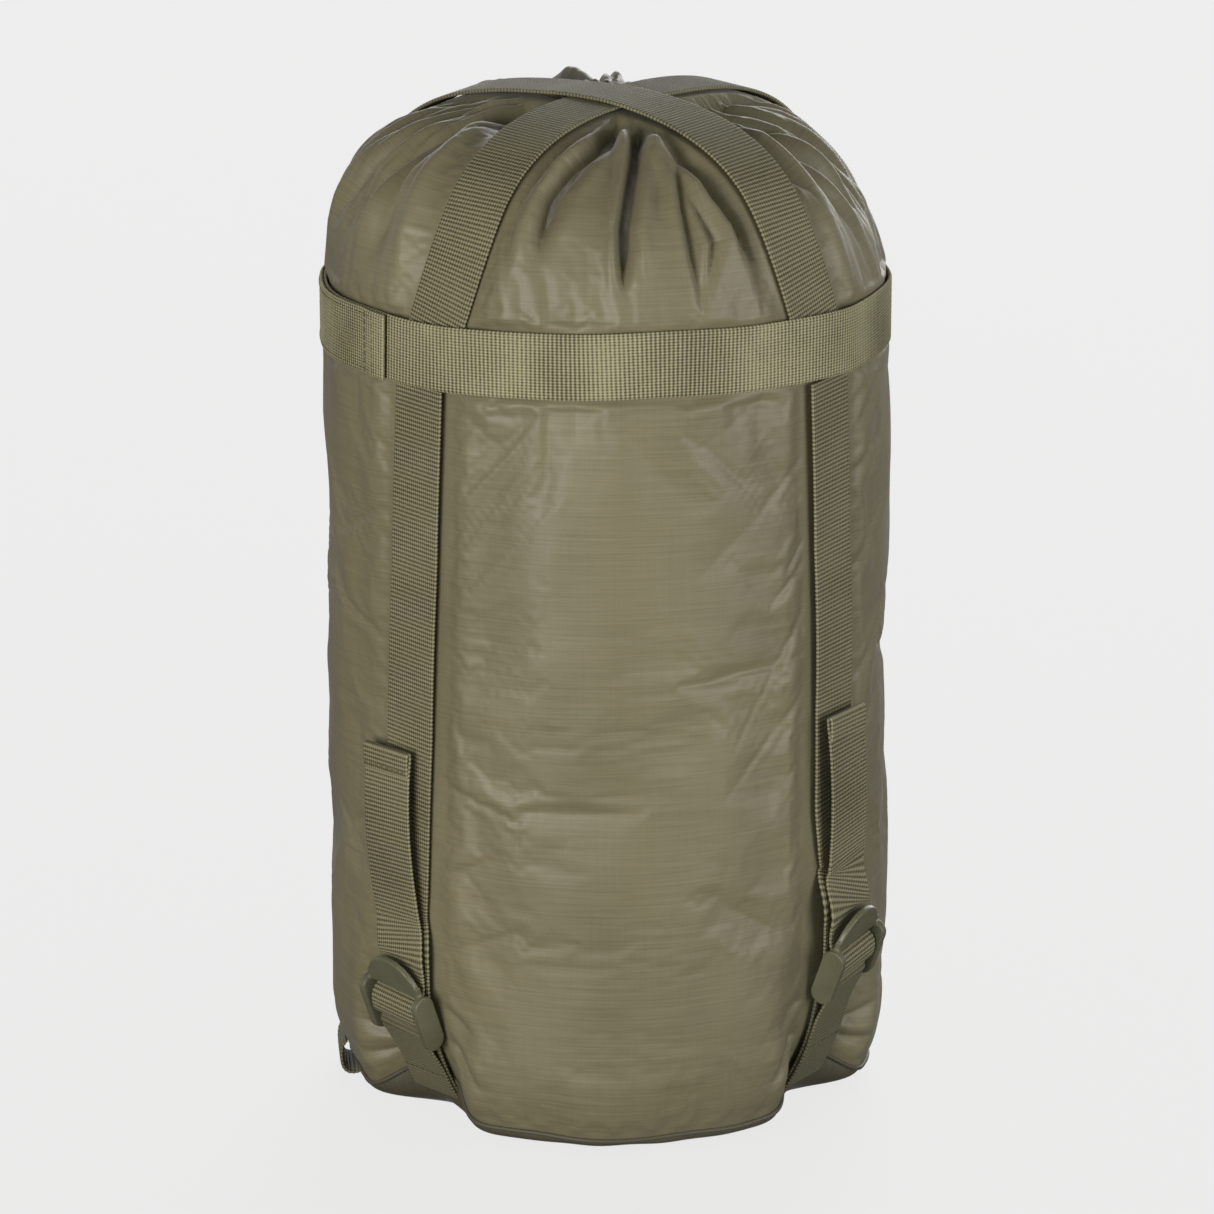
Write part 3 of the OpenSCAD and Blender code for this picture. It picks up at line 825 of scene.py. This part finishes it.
def settle(points, pinned):
    """Lets the shaped cloth buckle a little in a short cloth simulation. pinned is 1 where it is held."""
    rows, columns = points.shape[:2]
    mesh = make_mesh("settling", points.reshape(-1, 3), grid_quads(rows, columns, True))
    hold = mesh.vertex_groups.new(name="hold")
    flat = pinned.ravel()
    for level in np.unique(np.round(flat, 1)):
        if level > 0:
            hold.add(np.nonzero(np.round(flat, 1) == level)[0].tolist(), float(level), "REPLACE")
    cloth = mesh.modifiers.new("cloth", "CLOTH")
    c = cloth.settings
    c.quality = 5
    c.mass = 0.12
    c.tension_stiffness = c.compression_stiffness = 18
    c.shear_stiffness = 4
    c.bending_stiffness = 0.06
    c.air_damping = 3
    c.effector_weights.gravity = 0
    c.vertex_group_mass = "hold"
    c.pin_stiffness = 3
    c.shrink_min = c.shrink_max = -0.016
    c.use_pressure = True
    c.uniform_pressure_force = 0.25
    cloth.collision_settings.use_collision = False
    cloth.collision_settings.use_self_collision = False
    scene = bpy.context.scene
    scene.frame_start, scene.frame_end = 1, SETTLE_FRAMES
    cloth.point_cache.frame_start, cloth.point_cache.frame_end = 1, SETTLE_FRAMES
    for f in range(1, SETTLE_FRAMES + 1):
        scene.frame_set(f)
    settled = read_points(mesh.evaluated_get(bpy.context.evaluated_depsgraph_get()).data)
    scene.frame_set(1)
    bpy.data.objects.remove(mesh)
    return settled.reshape(rows, columns, 3)


def settled_offset():
    """How far the simulation moves the cloth, on a coarse grid, as (azimuths, distances, moves)."""
    az = np.linspace(-180, 180, 300, endpoint=False)
    v = np.linspace(0, V_END, 190)
    A, V = np.meshgrid(az, v)
    start = sack_point(A, V, cloth_relief(A, V, False))
    r, z, _, _ = at_outline(V)
    q = strap_gap(A, r, z)
    from_belt = np.abs(V - V_BELT) - WEB_HALF - 0.5
    held = np.maximum.reduce([1 - smooth((q - WEB_HALF) / 5), 1 - smooth(from_belt / 3),
                              1 - smooth(V / 5), smooth((V - V_END + 14) / 8)])
    moved = settle(start, held) - start
    size = np.linalg.norm(moved, axis=-1, keepdims=True)
    moved *= np.minimum(1, SETTLE_MOST / np.maximum(size, 1e-6)) * (1 - held)[..., None]
    outward = polar(np.radians(A), 1, 0)
    loose = 1 - held
    push = (moved * outward).sum(-1) * loose
    growth = push.sum(1, keepdims=True) / np.maximum(loose.sum(1, keepdims=True), 1)
    calm = SETTLE_SHARE * (1 - 0.35 * smooth((120 - V) / 60)) * loose
    return az, v, (moved - outward * growth[..., None]) * calm[..., None]


def spread(grid, az, v):
    """Values of the coarse grid at the points of a finer one, by cubic curves in both directions."""
    coarse_az, coarse_v, values = grid

    def cubic(table, at, closed):
        n = len(table)
        i = np.floor(at).astype(int)
        t = (at - i)[:, None, None]
        pick = (lambda k: table[k % n]) if closed else (lambda k: table[np.clip(k, 0, n - 1)])
        a, b, c, d = pick(i - 1), pick(i), pick(i + 1), pick(i + 2)
        return b + 0.5 * t * (c - a + t * (2 * a - 5 * b + 4 * c - d + t * (3 * (b - c) + d - a)))

    rows = cubic(values, v / coarse_v[-1] * (len(coarse_v) - 1), False)
    step = 360 / len(coarse_az)
    columns = cubic(rows.transpose(1, 0, 2), (az - coarse_az[0]) / step, True)
    return columns.transpose(1, 0, 2)


GRID = settled_offset()
AZ = np.linspace(-180, 180, 720, endpoint=False)


def cloth_piece(name, low, high, count, node, material):
    v = np.linspace(low, high, count)
    A, V = np.meshgrid(AZ, v)
    points = sack_point(A, V, cloth_relief(A, V))
    if GRID is not None:
        points += spread(GRID, AZ, v)
    made = dress(cloth_mesh(name, AZ, v, points), material)
    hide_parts(node)
    return made, points


side_cloth, side_points = cloth_piece("side_cloth", 0, V_BELT + 1, 330, "side_panel", SACK)
crown_cloth, _ = cloth_piece("crown_cloth", V_BELT - 1, V_END, 250, "crown", SACK)
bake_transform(side_cloth)
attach(crown_cloth, "top")


BASE_FLAT_R = 94
BASE_Z = 0.3


def base_disc():
    """The base panel: flat in the middle, rounded up to the seam, where it meets the side cloth."""
    rim = side_points[0]
    az = np.radians(AZ)
    rim_r = np.hypot(rim[:, 0], rim[:, 1])
    near = bump(strap_gap(AZ, rim_r, rim[:, 2]), 21)
    flat_r = BASE_FLAT_R - 16 * near
    fullness = 3.2 + 0.12 * np.maximum(0, 103 - rim_r)
    rings = []
    for s in np.linspace(0.02, 1, 26):
        ripple = 0.35 * waves(AZ, AZ * 0 + s * 60, 6, 5, 16, 40, 44) * smooth((s - 0.2) / 0.5) * (1 - s)
        rings.append(polar(az, flat_r * s, BASE_Z + np.abs(ripple)))
    creases = 0.5 * waves(AZ, AZ * 0, 7, 9, 30, 1e6, 45)
    for t in np.linspace(0, 1, 17)[1:]:
        r = flat_r * (1 - t) + rim_r * t + (fullness + creases) * 4 * t * (1 - t)
        up = BASE_Z + (rim[:, 2] - BASE_Z) * t ** 1.5
        rings.append(np.stack([r * rim[:, 0] / rim_r, r * rim[:, 1] / rim_r, up], -1))
    points = np.concatenate([np.array(rings).reshape(-1, 3), [[0, 0, BASE_Z]]])
    middle, n = len(points) - 1, len(AZ)
    made = make_mesh("base_cloth", points, grid_quads(len(rings), n, True)[:, ::-1],
                     fan(middle, 0, n), uvs=points[:, :2])
    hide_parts("base_panel")
    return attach(dress(made, BASE_NYLON_SHADED), "base")


base_cloth = base_disc()


def ring_tube(name, centres, radius, material):
    """A round cord through centres, closed into a ring round the sack."""
    sides = 12
    tangent = unit(np.roll(centres, -1, 0) - np.roll(centres, 1, 0))
    out = unit(centres * [1, 1, 0])
    side = unit(np.cross(tangent, out))
    out = np.cross(side, tangent)
    f = np.linspace(0, 2 * math.pi, sides, endpoint=False)
    spokes = out[:, None] * np.cos(f)[:, None] + side[:, None] * np.sin(f)[:, None]
    ring = centres[:, None] + radius * spokes
    n = len(centres)
    quads = grid_quads(n + 1, sides, True) % (n * sides)
    return dress(closed_mesh(name, ring.reshape(-1, 3), quads), material)


seam_line = side_points[1] + unit(side_points[1] * [1, 1, 0]) * 0.35 - np.array([0, 0, 0.9])
# The piping takes the base's darker nylon, with its painted shade.
piping = ring_tube("base_piping", seam_line, 0.95, BASE_NYLON_SHADED)
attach(piping, "base")


def bedding_mesh():
    """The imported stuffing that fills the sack, with a pocket below the mouth for the cord lock."""
    az = np.linspace(-180, 180, 180, endpoint=False)
    v = np.linspace(4, V_END - 26, 150)
    A, V = np.meshgrid(az, v)
    r, z, nr, _ = at_outline(V)
    inward = 4.4 + 2.5 * smooth((V - V_BELT) / 40)
    wall = sack_point(A, V, groove(strap_gap(A, r, z), r, z, nr, 4) - inward)
    a = np.radians(az)
    bottom = np.array([polar(a, p, h) for p, h in ((1, 3), (40, 3), (80, 3.4))])
    pocket = np.array([polar(a, p, h) for p, h in ((30, 385), (20, 384.5), (16.5, 382), (16, 360), (1, 360))])
    points = np.concatenate([bottom, wall, pocket])
    rows = len(points)
    flat = points.reshape(-1, 3)
    n = len(az)
    ends = np.array([[0, 0, 3], [0, 0, 360]])
    fans = [t[::-1] for t in fan(len(flat), 0, n)] + fan(len(flat) + 1, (rows - 1) * n, n)
    made = make_mesh("bedding", np.concatenate([flat, ends]), grid_quads(rows, n, True), fans)
    return dress(made, STUFFING)


bedding = bedding_mesh()
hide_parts("packed_load")
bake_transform(bedding)


def mouth_ring():
    """The gathered hem round the drawcord: a soft ring with close, uneven pleats."""
    az = np.linspace(-180, 180, 900, endpoint=False)
    b = np.linspace(0, 360, 44, endpoint=False)
    B, A = np.meshgrid(b, az)
    ridge = np.abs(np.sin(np.radians(A * 17 + pleat_wander(A, A * 0 + V_END) * 4.2)))
    height = 0.5 + 0.5 * np.clip(waves(A, A * 0, 6, 3, 12, 1e6, 51), -1, 1)
    up = np.maximum(0, np.sin(np.radians(B)))
    out = np.maximum(0, np.cos(np.radians(B)))
    r = 2.5 + 1.5 * ridge * (0.4 + 0.6 * out) + up * (0.2 + 1.3 * height * ridge)
    lean = 1.2 * waves(A, A * 0, 6, 5, 18, 1e6, 52) * up
    radius = MOUTH_R + r * np.cos(np.radians(B)) + lean
    z = MOUTH_Z + r * np.sin(np.radians(B))
    a = np.radians(A)
    under_straps = 395.9
    z = np.minimum(z, under_straps + 4.0 * smooth((cross_gap(a, radius, cross_offset(z)) - 13) / 4))
    points = polar(a, radius, z)
    rows, columns = points.shape[:2]
    uvs = np.stack([a * MOUTH_R, B * 0.06], -1).reshape(-1, 2)
    quads = grid_quads(rows + 1, columns, True) % (rows * columns)
    made = closed_mesh("mouth_hem", points.reshape(-1, 3), quads, uvs)
    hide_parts("drawcord_tunnel")
    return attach(dress(made, SACK), "top")


mouth_ring()

# ---- belt and cross straps ----

def belt_piece():
    """The belt goes once round and laps over its own start, where its end is folded under and sewn."""
    turn = 360 + BELT_LAP
    s = np.linspace(0, turn, 700)
    first = BELT_END_AZ - BELT_LAP
    az = first + s
    climb = (WEB_T + 0.1) * smooth((s - 360 + 14) / 14)
    lift = 1.3 * smooth((s - turn + 9) / 6)
    over = np.zeros(len(s))
    for strap in (44, -44, 136, 224):
        d = np.remainder(az - strap + 180, 360) - 180
        over = np.maximum(over, 1.0 * np.exp(-((d / 10) ** 4)))
    a = np.radians(az)
    r = BELT_R + climb + lift + over + 0.22 * np.sin(9 * a + 0.4) + 0.15 * np.sin(14 * a + 2.0)
    rise = 0.5 * np.sin(2 * a + 0.6) + 0.35 * np.sin(5 * a + 1.1) + 0.2 * np.sin(11 * a + 0.3)
    path = polar(a, r, BELT_Z + rise)
    across = np.tile([0.0, 0.0, 1.0], (len(s), 1))
    strip = webbing("belt_webbing", *along(path, 0.415, [across]))
    hem_path = path[-16:-1] - unit(path[-16:-1] * [1, 1, 0]) * (WEB_T * 0.86)
    hem = webbing("hem", *along(hem_path, WEB_SPACING, [across[-16:-1]]), width=WEB_W - 0.4)
    made = join("belt_webbing", [strip, hem])
    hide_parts("belt")
    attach(dress(made, BELT), "top")
    rows = []
    outward = unit(path * [1, 1, 0])
    for k in (-7, -12):
        heights = np.linspace(-10.5, 10.5, 8)
        line = path[k] + outward[k] * (WEB_T / 2) + heights[:, None] * np.array([0, 0, 1.0])
        rows.append(stitches("row", line, np.tile(outward[k], (8, 1)), 0.08))
    for h in (-10.5, 10.5):
        line = path[-100:-6:6] + outward[-100:-6:6] * (WEB_T / 2) + [0, 0, h]
        rows.append(stitches("row", line, outward[-100:-6:6], 0.06))
    sewn = join("belt_stitches", rows)
    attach(dress(sewn, THREAD), "top")


belt_piece()


def dome_normal(p, r, h):
    """Outward directions of a dome of radius r and height h at its points p."""
    q = np.maximum(np.hypot(p[:, 0], p[:, 1]), 1e-3)
    s = (q / r) ** (DOME_POWER - 1) / r / q
    up = np.maximum(0, (p[:, 2] - DOME_Z) / h) ** (DOME_POWER - 1) / h
    return unit(np.stack([s * p[:, 0], s * p[:, 1], up], -1))


def cross_strap(name, node, side, hump):
    """A strap over the dome, in front of the diagonal. hump lifts it where the two straps cross."""
    r = BODY_R - GROOVE + 2 * GAP + WEB_T / 2
    h = DOME_H + 1.0
    t = np.radians(np.concatenate([[0.5, 3], np.arange(6, 85, 3)]))
    q = r * np.cos(t) ** (2 / DOME_POWER)
    z = DOME_Z + h * np.sin(t) ** (2 / DOME_POWER)
    e = cross_offset(z)
    front = np.stack([-side * e, -np.sqrt(q * q - e * e), z], -1)
    top = [[-side * CROSS_SHIFT, 0, DOME_Z + h * (1 - (CROSS_SHIFT / r) ** DOME_POWER) ** (1 / DOME_POWER)]]
    path = np.concatenate([front, top, front[::-1] * [1, -1, 1]])
    normal = dome_normal(path, r, h)
    path = turn(path, 2, side * STRAP_TOP_AZ)
    normal = turn(normal, 2, side * STRAP_TOP_AZ)
    crossing = np.array([0, -CROSS_SHIFT * math.sqrt(2)])
    away = np.linalg.norm(path[:, :2] - crossing, axis=1)
    path += normal * (hump * np.exp(-((away / 34) ** 2)))[:, None]
    across = unit(np.cross(np.gradient(path, axis=0), normal))
    made = webbing(name, *along(path, WEB_SPACING, [across]), start=3.1 * side)
    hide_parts(node)
    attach(dress(made, STRAP), "top")


cross_strap("cross_strap_low", "cross_strap_under", -1, 0.0)
cross_strap("cross_strap_high", "cross_strap_over", 1, 1.8)

# ---- strap ends, one set at each corner ----

def against_r(z):
    """Radius of the middle of webbing that lies against the groove's floor."""
    return groove_floor(z) + 2 * GAP + WEB_T / 2


def lock_radius(c):
    return groove_floor(LOCK_Z[c]) + LOCK_OFF


def in_lock(c, points):
    """Points in a lock's plane, given as out from the sack and up from its bar, as local x, y, z."""
    lean, roll = math.radians(LOCK_LEAN), math.radians(LOCK_ROLL[c])
    out, up = np.asarray(points, float).T
    rise = up * math.cos(lean) - out * math.sin(lean)
    return np.stack([-rise * math.sin(roll),
                     -lock_radius(c) - out * math.cos(lean) - up * math.sin(lean),
                     LOCK_Z[c] + rise * math.cos(roll)], -1)


def across_lock(c, share, count=1):
    a = math.radians(share * LOCK_ROLL[c])
    return np.tile([math.cos(a), 0, math.sin(a)], (count, 1))


# The lower strap divides into its run, the stretch in the lock and its tail this far above the lock's bar
CUT_UP = 46


def strap_path(c):
    """The lower strap in its corner's own frame: down from the belt, round the lock's middle bar, up as the tail."""
    top, low = BELT_Z - WEB_HALF - 0.5, LOCK_Z[c] + CUT_UP
    sway = math.sin(math.radians(CORNER_DRIFT[c] * (STRAP_FOOT_AZ - STRAP_TOP_AZ))) * BODY_R
    z = np.linspace(top, low, 16)
    down = (top - z) / (top - low) * math.pi
    slack = np.abs(0.35 * np.sin(down * 3) * np.sin(down))
    bow = (RIGHT_BOW if c == FRONT_RIGHT else 0) * bump(z - BOW_Z, BOW_LENGTH) * smooth((z - low) / 25)
    upper = np.stack([sway * (z - low) / (BELT_Z - low) - bow, -against_r(z) - slack, z], -1)
    lower = in_lock(c, [[-3.3, 34], [-2.4, 24], [-1.7, 15], [-1.5, 9], [-0.8, 6.8], [0.6, 5.9], [1.6, 5.75]])
    threaded = in_lock(c, [[3.8, 5.75], [5.3, 6.1], [6.1, 7.5], [6.5, 10], [6.2, 12.9],
                           [4.8, 15.2], [2.6, 16.6], [0.9, 19], [0.3, 24], [0.4, 32]])
    tail_low, tail_top = LOCK_Z[c] + CUT_UP - 2, TAIL_Z[c]
    hang = groove_floor(tail_low) + GAP + 2.5 * WEB_T + 1
    k = np.linspace(0, 1, 9)
    sweep = TAIL_SWEEP[c] * np.sin(math.pi / 2 * k)
    out = hang + 3.5 * np.sin(math.radians(150) * k)
    loose = np.stack([sweep, -out, tail_low + (tail_top - tail_low) * k], -1)
    folded = ((0.05, -0.9), (0.85, 0.1), (1.68, -1.0), (1.75, -9))
    hem = [[sweep[-1], -(out[-1] + over), tail_top + up] for over, up in folded]
    points = np.concatenate([upper, lower, threaded, loose[:-1], hem])
    rolled = ((0, 15), (0.5, 1), (1, 17), (0.5, 1), (0, 11))
    return points, np.concatenate([across_lock(c, share, count) for share, count in rolled])


def lower_strap(c):
    """The run, the stretch in the lock and the tail of one corner's strap, cut from one length of webbing."""
    corner = CORNERS[c]
    points, across = strap_path(c)
    table, s = along(points, WEB_SPACING, [across])
    table = np.concatenate([turn(table[:, :3], 2, CORNER_AZ[c]), turn(table[:, 3:6], 2, CORNER_AZ[c])], 1)
    cut = LOCK_Z[c] + CUT_UP
    below = np.nonzero(table[:, 2] < cut)[0]
    first, last = below[0], below[-1]
    pieces = [("strap_run_" + corner, 0, first + 1), ("strap_thread_" + corner, first, last + 1),
              ("strap_end_" + corner, last, len(s))]
    made = []
    for name, i, j in pieces:
        part = webbing(name, table[i:j], s[i:j] - s[i], start=s[i])
        dress(part, STRAP)
        made.append(part)
    run, thread, tail = made
    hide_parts("strap_run_" + corner)
    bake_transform(run)
    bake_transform(thread)
    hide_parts("strap_tail_" + corner)
    sew = np.linspace(-10.6, 10.6, 8)
    end = table[-1]
    outward = unit(np.array([end[0], end[1], 0.0]))
    line = end[:3] + outward * 0.75 + sew[:, None] * end[3:6] + [0, 0, 1.8]
    row = dress(stitches("row", line, np.tile(outward, (8, 1)), 0.1), THREAD)
    tail = join(tail.name, [tail, row])
    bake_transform(tail)


def anchor(c):
    """Short webbing sewn into the base seam and looped round the lock's bar."""
    bend = BAR_R + 0.3 + WEB_T / 2
    foot_z, top_z = SEAM_Z + 1.5, LOCK_Z[c] - 8
    foot_r = against_r(foot_z)
    slope = math.degrees(math.atan2(lock_radius(c) - foot_r, LOCK_Z[c] - foot_z)) - LOCK_LEAN
    heights = np.linspace(foot_z, top_z, 7)
    back = np.stack([0 * heights, -against_r(heights), heights], -1)
    a = np.radians(np.linspace(0, 180, 13) + slope)
    round_bar = in_lock(c, np.stack([-np.cos(a), np.sin(a)], -1) * bend)
    last = round_bar[-1]
    down = heights[::-1]
    straight = foot_r + (-last[1] - foot_r) * (down - foot_z) / (last[2] - foot_z)
    front = np.stack([0 * down, -np.maximum(straight, against_r(down) + WEB_T + 0.15), down], -1)
    points = np.concatenate([back, round_bar, front])
    roll = np.concatenate([np.linspace(0, 1, 7), np.ones(13), np.linspace(1, 0, 7)])
    across = np.concatenate([across_lock(c, s) for s in roll])
    points, across = turn(points, 2, CORNER_AZ[c]), turn(across, 2, CORNER_AZ[c])
    made = webbing("anchor_loop_" + CORNERS[c], *along(points, WEB_SPACING, [across]))
    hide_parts("anchor_" + CORNERS[c])
    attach(dress(made, FINE), "base")
    _, sewn_y, sewn_z = front[3]
    outward = np.tile(turn([0, -1, 0], 2, CORNER_AZ[c]), (8, 1))
    rows = []
    for up in (-1.2, 1.2):
        line = [(x, sewn_y - WEB_T / 2, sewn_z + up) for x in np.linspace(-10.4, 10.4, 8)]
        rows.append(stitches("row", turn(line, 2, CORNER_AZ[c]), outward, 0.12))
    sewn = dress(join("anchor_stitches_" + CORNERS[c], rows), THREAD)
    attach(sewn, "base")


def plate(points, low, high, axis):
    """A flat outline pushed out between low and high along axis 0 (x) or 1 (y)."""
    outline = np.asarray(points, float)
    n = len(outline)

    def layer(at):
        level = np.full(n, at)
        if axis == 0:
            return np.stack([level, -outline[:, 0], outline[:, 1]], -1)
        return np.stack([outline[:, 0], level, outline[:, 1]], -1)

    rings = np.concatenate([layer(low), layer(high)])
    centres = np.array([rings[:n].mean(0), rings[n:].mean(0)])
    fans = [t[::-1] for t in fan(2 * n, 0, n)] + fan(2 * n + 1, n, n)
    return make_mesh("plate", np.concatenate([rings, centres]), grid_quads(2, n, True), fans)


TAB_T = 2.4
TAB_TILT = 12


def ladder_lock(c):
    """A moulded lock: two bean-shaped ears, a sewn bar, a middle bar and a thumb tab with a round top."""
    low, high, r = np.array([0.9, -0.2]), np.array([4.6, 15.4]), 4.7
    slope = math.atan2(high[1] - low[1], high[0] - low[0])
    upper = np.linspace(slope - math.pi / 2, slope + math.pi / 2, 24)
    bean = np.concatenate([high + r * np.stack([np.cos(upper), np.sin(upper)], -1),
                           low + r * np.stack([np.cos(upper + math.pi), np.sin(upper + math.pi)], -1)])
    parts = [plate(bean, *sorted((side * SLOT_HALF, side * (SLOT_HALF + EAR_T))), 0) for side in (-1, 1)]
    f = np.linspace(0, 2 * math.pi, 32, endpoint=False)
    reach = SLOT_HALF + 1
    parts.append(plate(np.stack([BAR_R * np.cos(f), BAR_R * np.sin(f)], -1), -reach, reach, 0))
    bar = [(1.9, 6.9), (2.2, 6.6), (4.5, 6.6), (4.8, 6.9), (4.8, 13.1), (4.5, 13.4), (2.2, 13.4), (1.9, 13.1)]
    parts.append(plate(bar, -reach, reach, 0))
    height = 14.5
    big = (reach ** 2 + height ** 2) / (2 * height)
    sweep = math.asin(min(1, reach / big)) if height < reach else math.pi - math.asin(reach / big)
    a = np.linspace(-sweep, sweep, 40)
    dome = np.stack([big * np.sin(a), height - big + big * np.cos(a)], -1)
    foot = [(-reach, 0.2), (reach, 0.2), (reach, 5.2), (-reach, 5.2)]
    tab = [plate(outline, 0, TAB_T, 1) for outline in (dome, foot)]
    for piece in tab:
        write_points(piece.data, turn(read_points(piece.data), 0, TAB_TILT) + [0, -5.2, 18.4])
    made = join("lock_frame_" + CORNERS[c], parts + tab)
    remesh = made.modifiers.new("remesh", "REMESH")
    remesh.mode, remesh.voxel_size, remesh.use_smooth_shade = "VOXEL", 0.00036, True
    soft = made.modifiers.new("soft", "SMOOTH")
    soft.factor, soft.iterations = 0.5, 12
    apply_modifiers(made)
    leaning = turn(turn(read_points(made.data), 0, LOCK_LEAN), 1, -LOCK_ROLL[c])
    write_points(made.data, turn(leaning + [0, -lock_radius(c), LOCK_Z[c]], 2, CORNER_AZ[c]))
    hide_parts("ladder_lock_" + CORNERS[c])
    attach(dress(made, LOCK), "lock_" + CORNERS[c])


for corner_index in range(4):
    lower_strap(corner_index)
    anchor(corner_index)
    ladder_lock(corner_index)


def haul_loop():
    """A folded loop of webbing at the left, seen edge on."""
    route = [(105.8, 14.4), (107.2, 12.4), (107.7, 9.5), (107.6, 6), (106.8, 3), (105, 1.3), (102.6, 1.0),
             (100.7, 1.6), (99.7, 3.2), (99.9, 5), (101, 7.4), (102.6, 9.7), (103.9, 11.6)]
    path = turn([(0, -r, z) for r, z in route], 2, LOOP_AZ)
    across = np.tile(turn([1, 0, 0], 2, LOOP_AZ), (len(route), 1))
    made = webbing("haul_loop_webbing", *along(path, WEB_SPACING, [across]))
    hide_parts("haul_loop")
    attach(dress(made, FINE), "loop")


haul_loop()

# ---- CAD parts that are shown as they are ----

for node_name, node_material, slot_name in (
    ("drawcord", CORD, "cord"),
    ("cord_lock_barrel", CORD_LOCK, "cord_lock_plastic"),
    ("cord_lock_button", CORD_LOCK, "cord_lock_plastic"),
    ("cord_lock_spring", STEEL, "spring_steel"),
):
    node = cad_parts[node_name]
    dress(node, node_material)
    node.data.polygons.foreach_set("use_smooth", np.ones(len(node.data.polygons), bool))
    node.data.set_sharp_from_angle(angle=math.radians(35))
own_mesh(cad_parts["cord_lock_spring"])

# ---- stage, light and camera ----

reach = 3e4
corners = [(x * reach, y * reach, -0.1) for x, y in ((-1, -1), (1, -1), (1, 1), (-1, 1))]
floor = make_mesh("studio_floor", corners, [(0, 1, 2, 3)])
ground = Nodes("floor_paint")
speck = ground.noise(ground.solid(), 3.0, 2, 0.5)
pale = ground.ramp(speck, [(0.3, (0.15, 0.15, 0.149, 1)), (0.7, (0.154, 0.154, 0.153, 1))])
dress(floor, ground.finish(pale, Roughness=0.9, Specular_IOR_Level=0.1, Emission_Color=(1, 1, 0.997, 1),
                           Emission_Strength=0.777))
floor.visible_diffuse = floor.visible_glossy = False

# The softboxes light the sack and not the floor, where each would leave an edge in the views from behind
unlit = bpy.data.collections.new("not_lit_by_softboxes")
unlit.objects.link(floor)
unlit.collection_objects[0].light_linking.link_state = "EXCLUDE"

world = bpy.data.worlds.new("studio_world")
world.use_nodes = True
sky = world.node_tree
place = sky.nodes.new("ShaderNodeTexCoord")
split = sky.nodes.new("ShaderNodeSeparateXYZ")
shade = sky.nodes.new("ShaderNodeValToRGB")
lift = sky.nodes.new("ShaderNodeMath")
lift.operation = "MULTIPLY_ADD"
lift.inputs[1].default_value = lift.inputs[2].default_value = 0.5
for k, (at, grey) in enumerate(((0.0, 0.03), (0.46, 0.08), (0.52, 0.62), (0.58, 0.36), (1.0, 0.02))):
    stop = shade.color_ramp.elements[k] if k < 2 else shade.color_ramp.elements.new(at)
    stop.position, stop.color = at, (grey, grey, grey * 1.01, 1)
sky.links.new(place.outputs["Generated"], split.inputs[0])
sky.links.new(split.outputs["Z"], lift.inputs[0])
sky.links.new(lift.outputs[0], shade.inputs["Fac"])
sky.links.new(shade.outputs["Color"], sky.nodes["Background"].inputs["Color"])
# The sack is lit by the shaded sky, and a plain one in the floor's tone is seen behind it
seen = sky.nodes.new("ShaderNodeBackground")
seen.inputs["Color"].default_value = (0.83, 0.83, 0.828, 1)
ray, choose = sky.nodes.new("ShaderNodeLightPath"), sky.nodes.new("ShaderNodeMixShader")
sky.links.new(ray.outputs["Is Camera Ray"], choose.inputs[0])
sky.links.new(sky.nodes["Background"].outputs[0], choose.inputs[1])
sky.links.new(seen.outputs[0], choose.inputs[2])
sky.links.new(choose.outputs[0], sky.nodes["World Output"].inputs["Surface"])
bpy.context.scene.world = world


def aimed(name, data, place, direction):
    """A light or camera at a place, in metres, that looks in this direction."""
    made = bpy.data.objects.new(name, data)
    made.location = place
    made.rotation_mode = "QUATERNION"
    made.rotation_quaternion = direction.to_track_quat("-Z", "Y")
    bpy.context.scene.collection.objects.link(made)
    return made


def soft_box(name, azimuth, distance, height, width, power, colour):
    """A square softbox that faces the sack from this azimuth, and isn't itself in view."""
    lamp = bpy.data.lights.new(name, "AREA")
    lamp.shape, lamp.size = "SQUARE", width
    lamp.energy, lamp.color = power, colour
    a = math.radians(azimuth)
    place = Vector((math.sin(a) * distance, -math.cos(a) * distance, height))
    made = aimed(name, lamp, place, Vector((0, 0, 0.25)) - place)
    made.visible_camera = False
    made.light_linking.receiver_collection = unlit


soft_box("key_light", -33, 1.15, 0.31, 0.5, 6.9, (1.0, 0.985, 0.95))
soft_box("fill_light", 46, 1.2, 0.33, 0.7, 5.6, (0.97, 0.98, 1.0))

back_lamp = bpy.data.lights.new("back_light", "SUN")
back_lamp.energy, back_lamp.angle = 1.5, math.radians(50)
aimed("back_light", back_lamp, (0, 0, 0), Vector((-0.25, -0.93, -0.28)))

camera_data = bpy.data.cameras.new("camera")
camera_data.lens = 157.6
camera_data.sensor_width = 36
camera_data.clip_start, camera_data.clip_end = 0.05, 100
view_az, view_el, view_far = math.radians(-5), math.radians(16), 2.1
level = math.cos(view_el)
view_back = Vector((math.sin(view_az) * level, -math.cos(view_az) * level, math.sin(view_el)))
camera = aimed("camera", camera_data, Vector((0, 0, 0.189)) + view_back * view_far, -view_back)
bpy.context.scene.camera = camera
bpy.context.scene.view_settings.view_transform = "Standard"
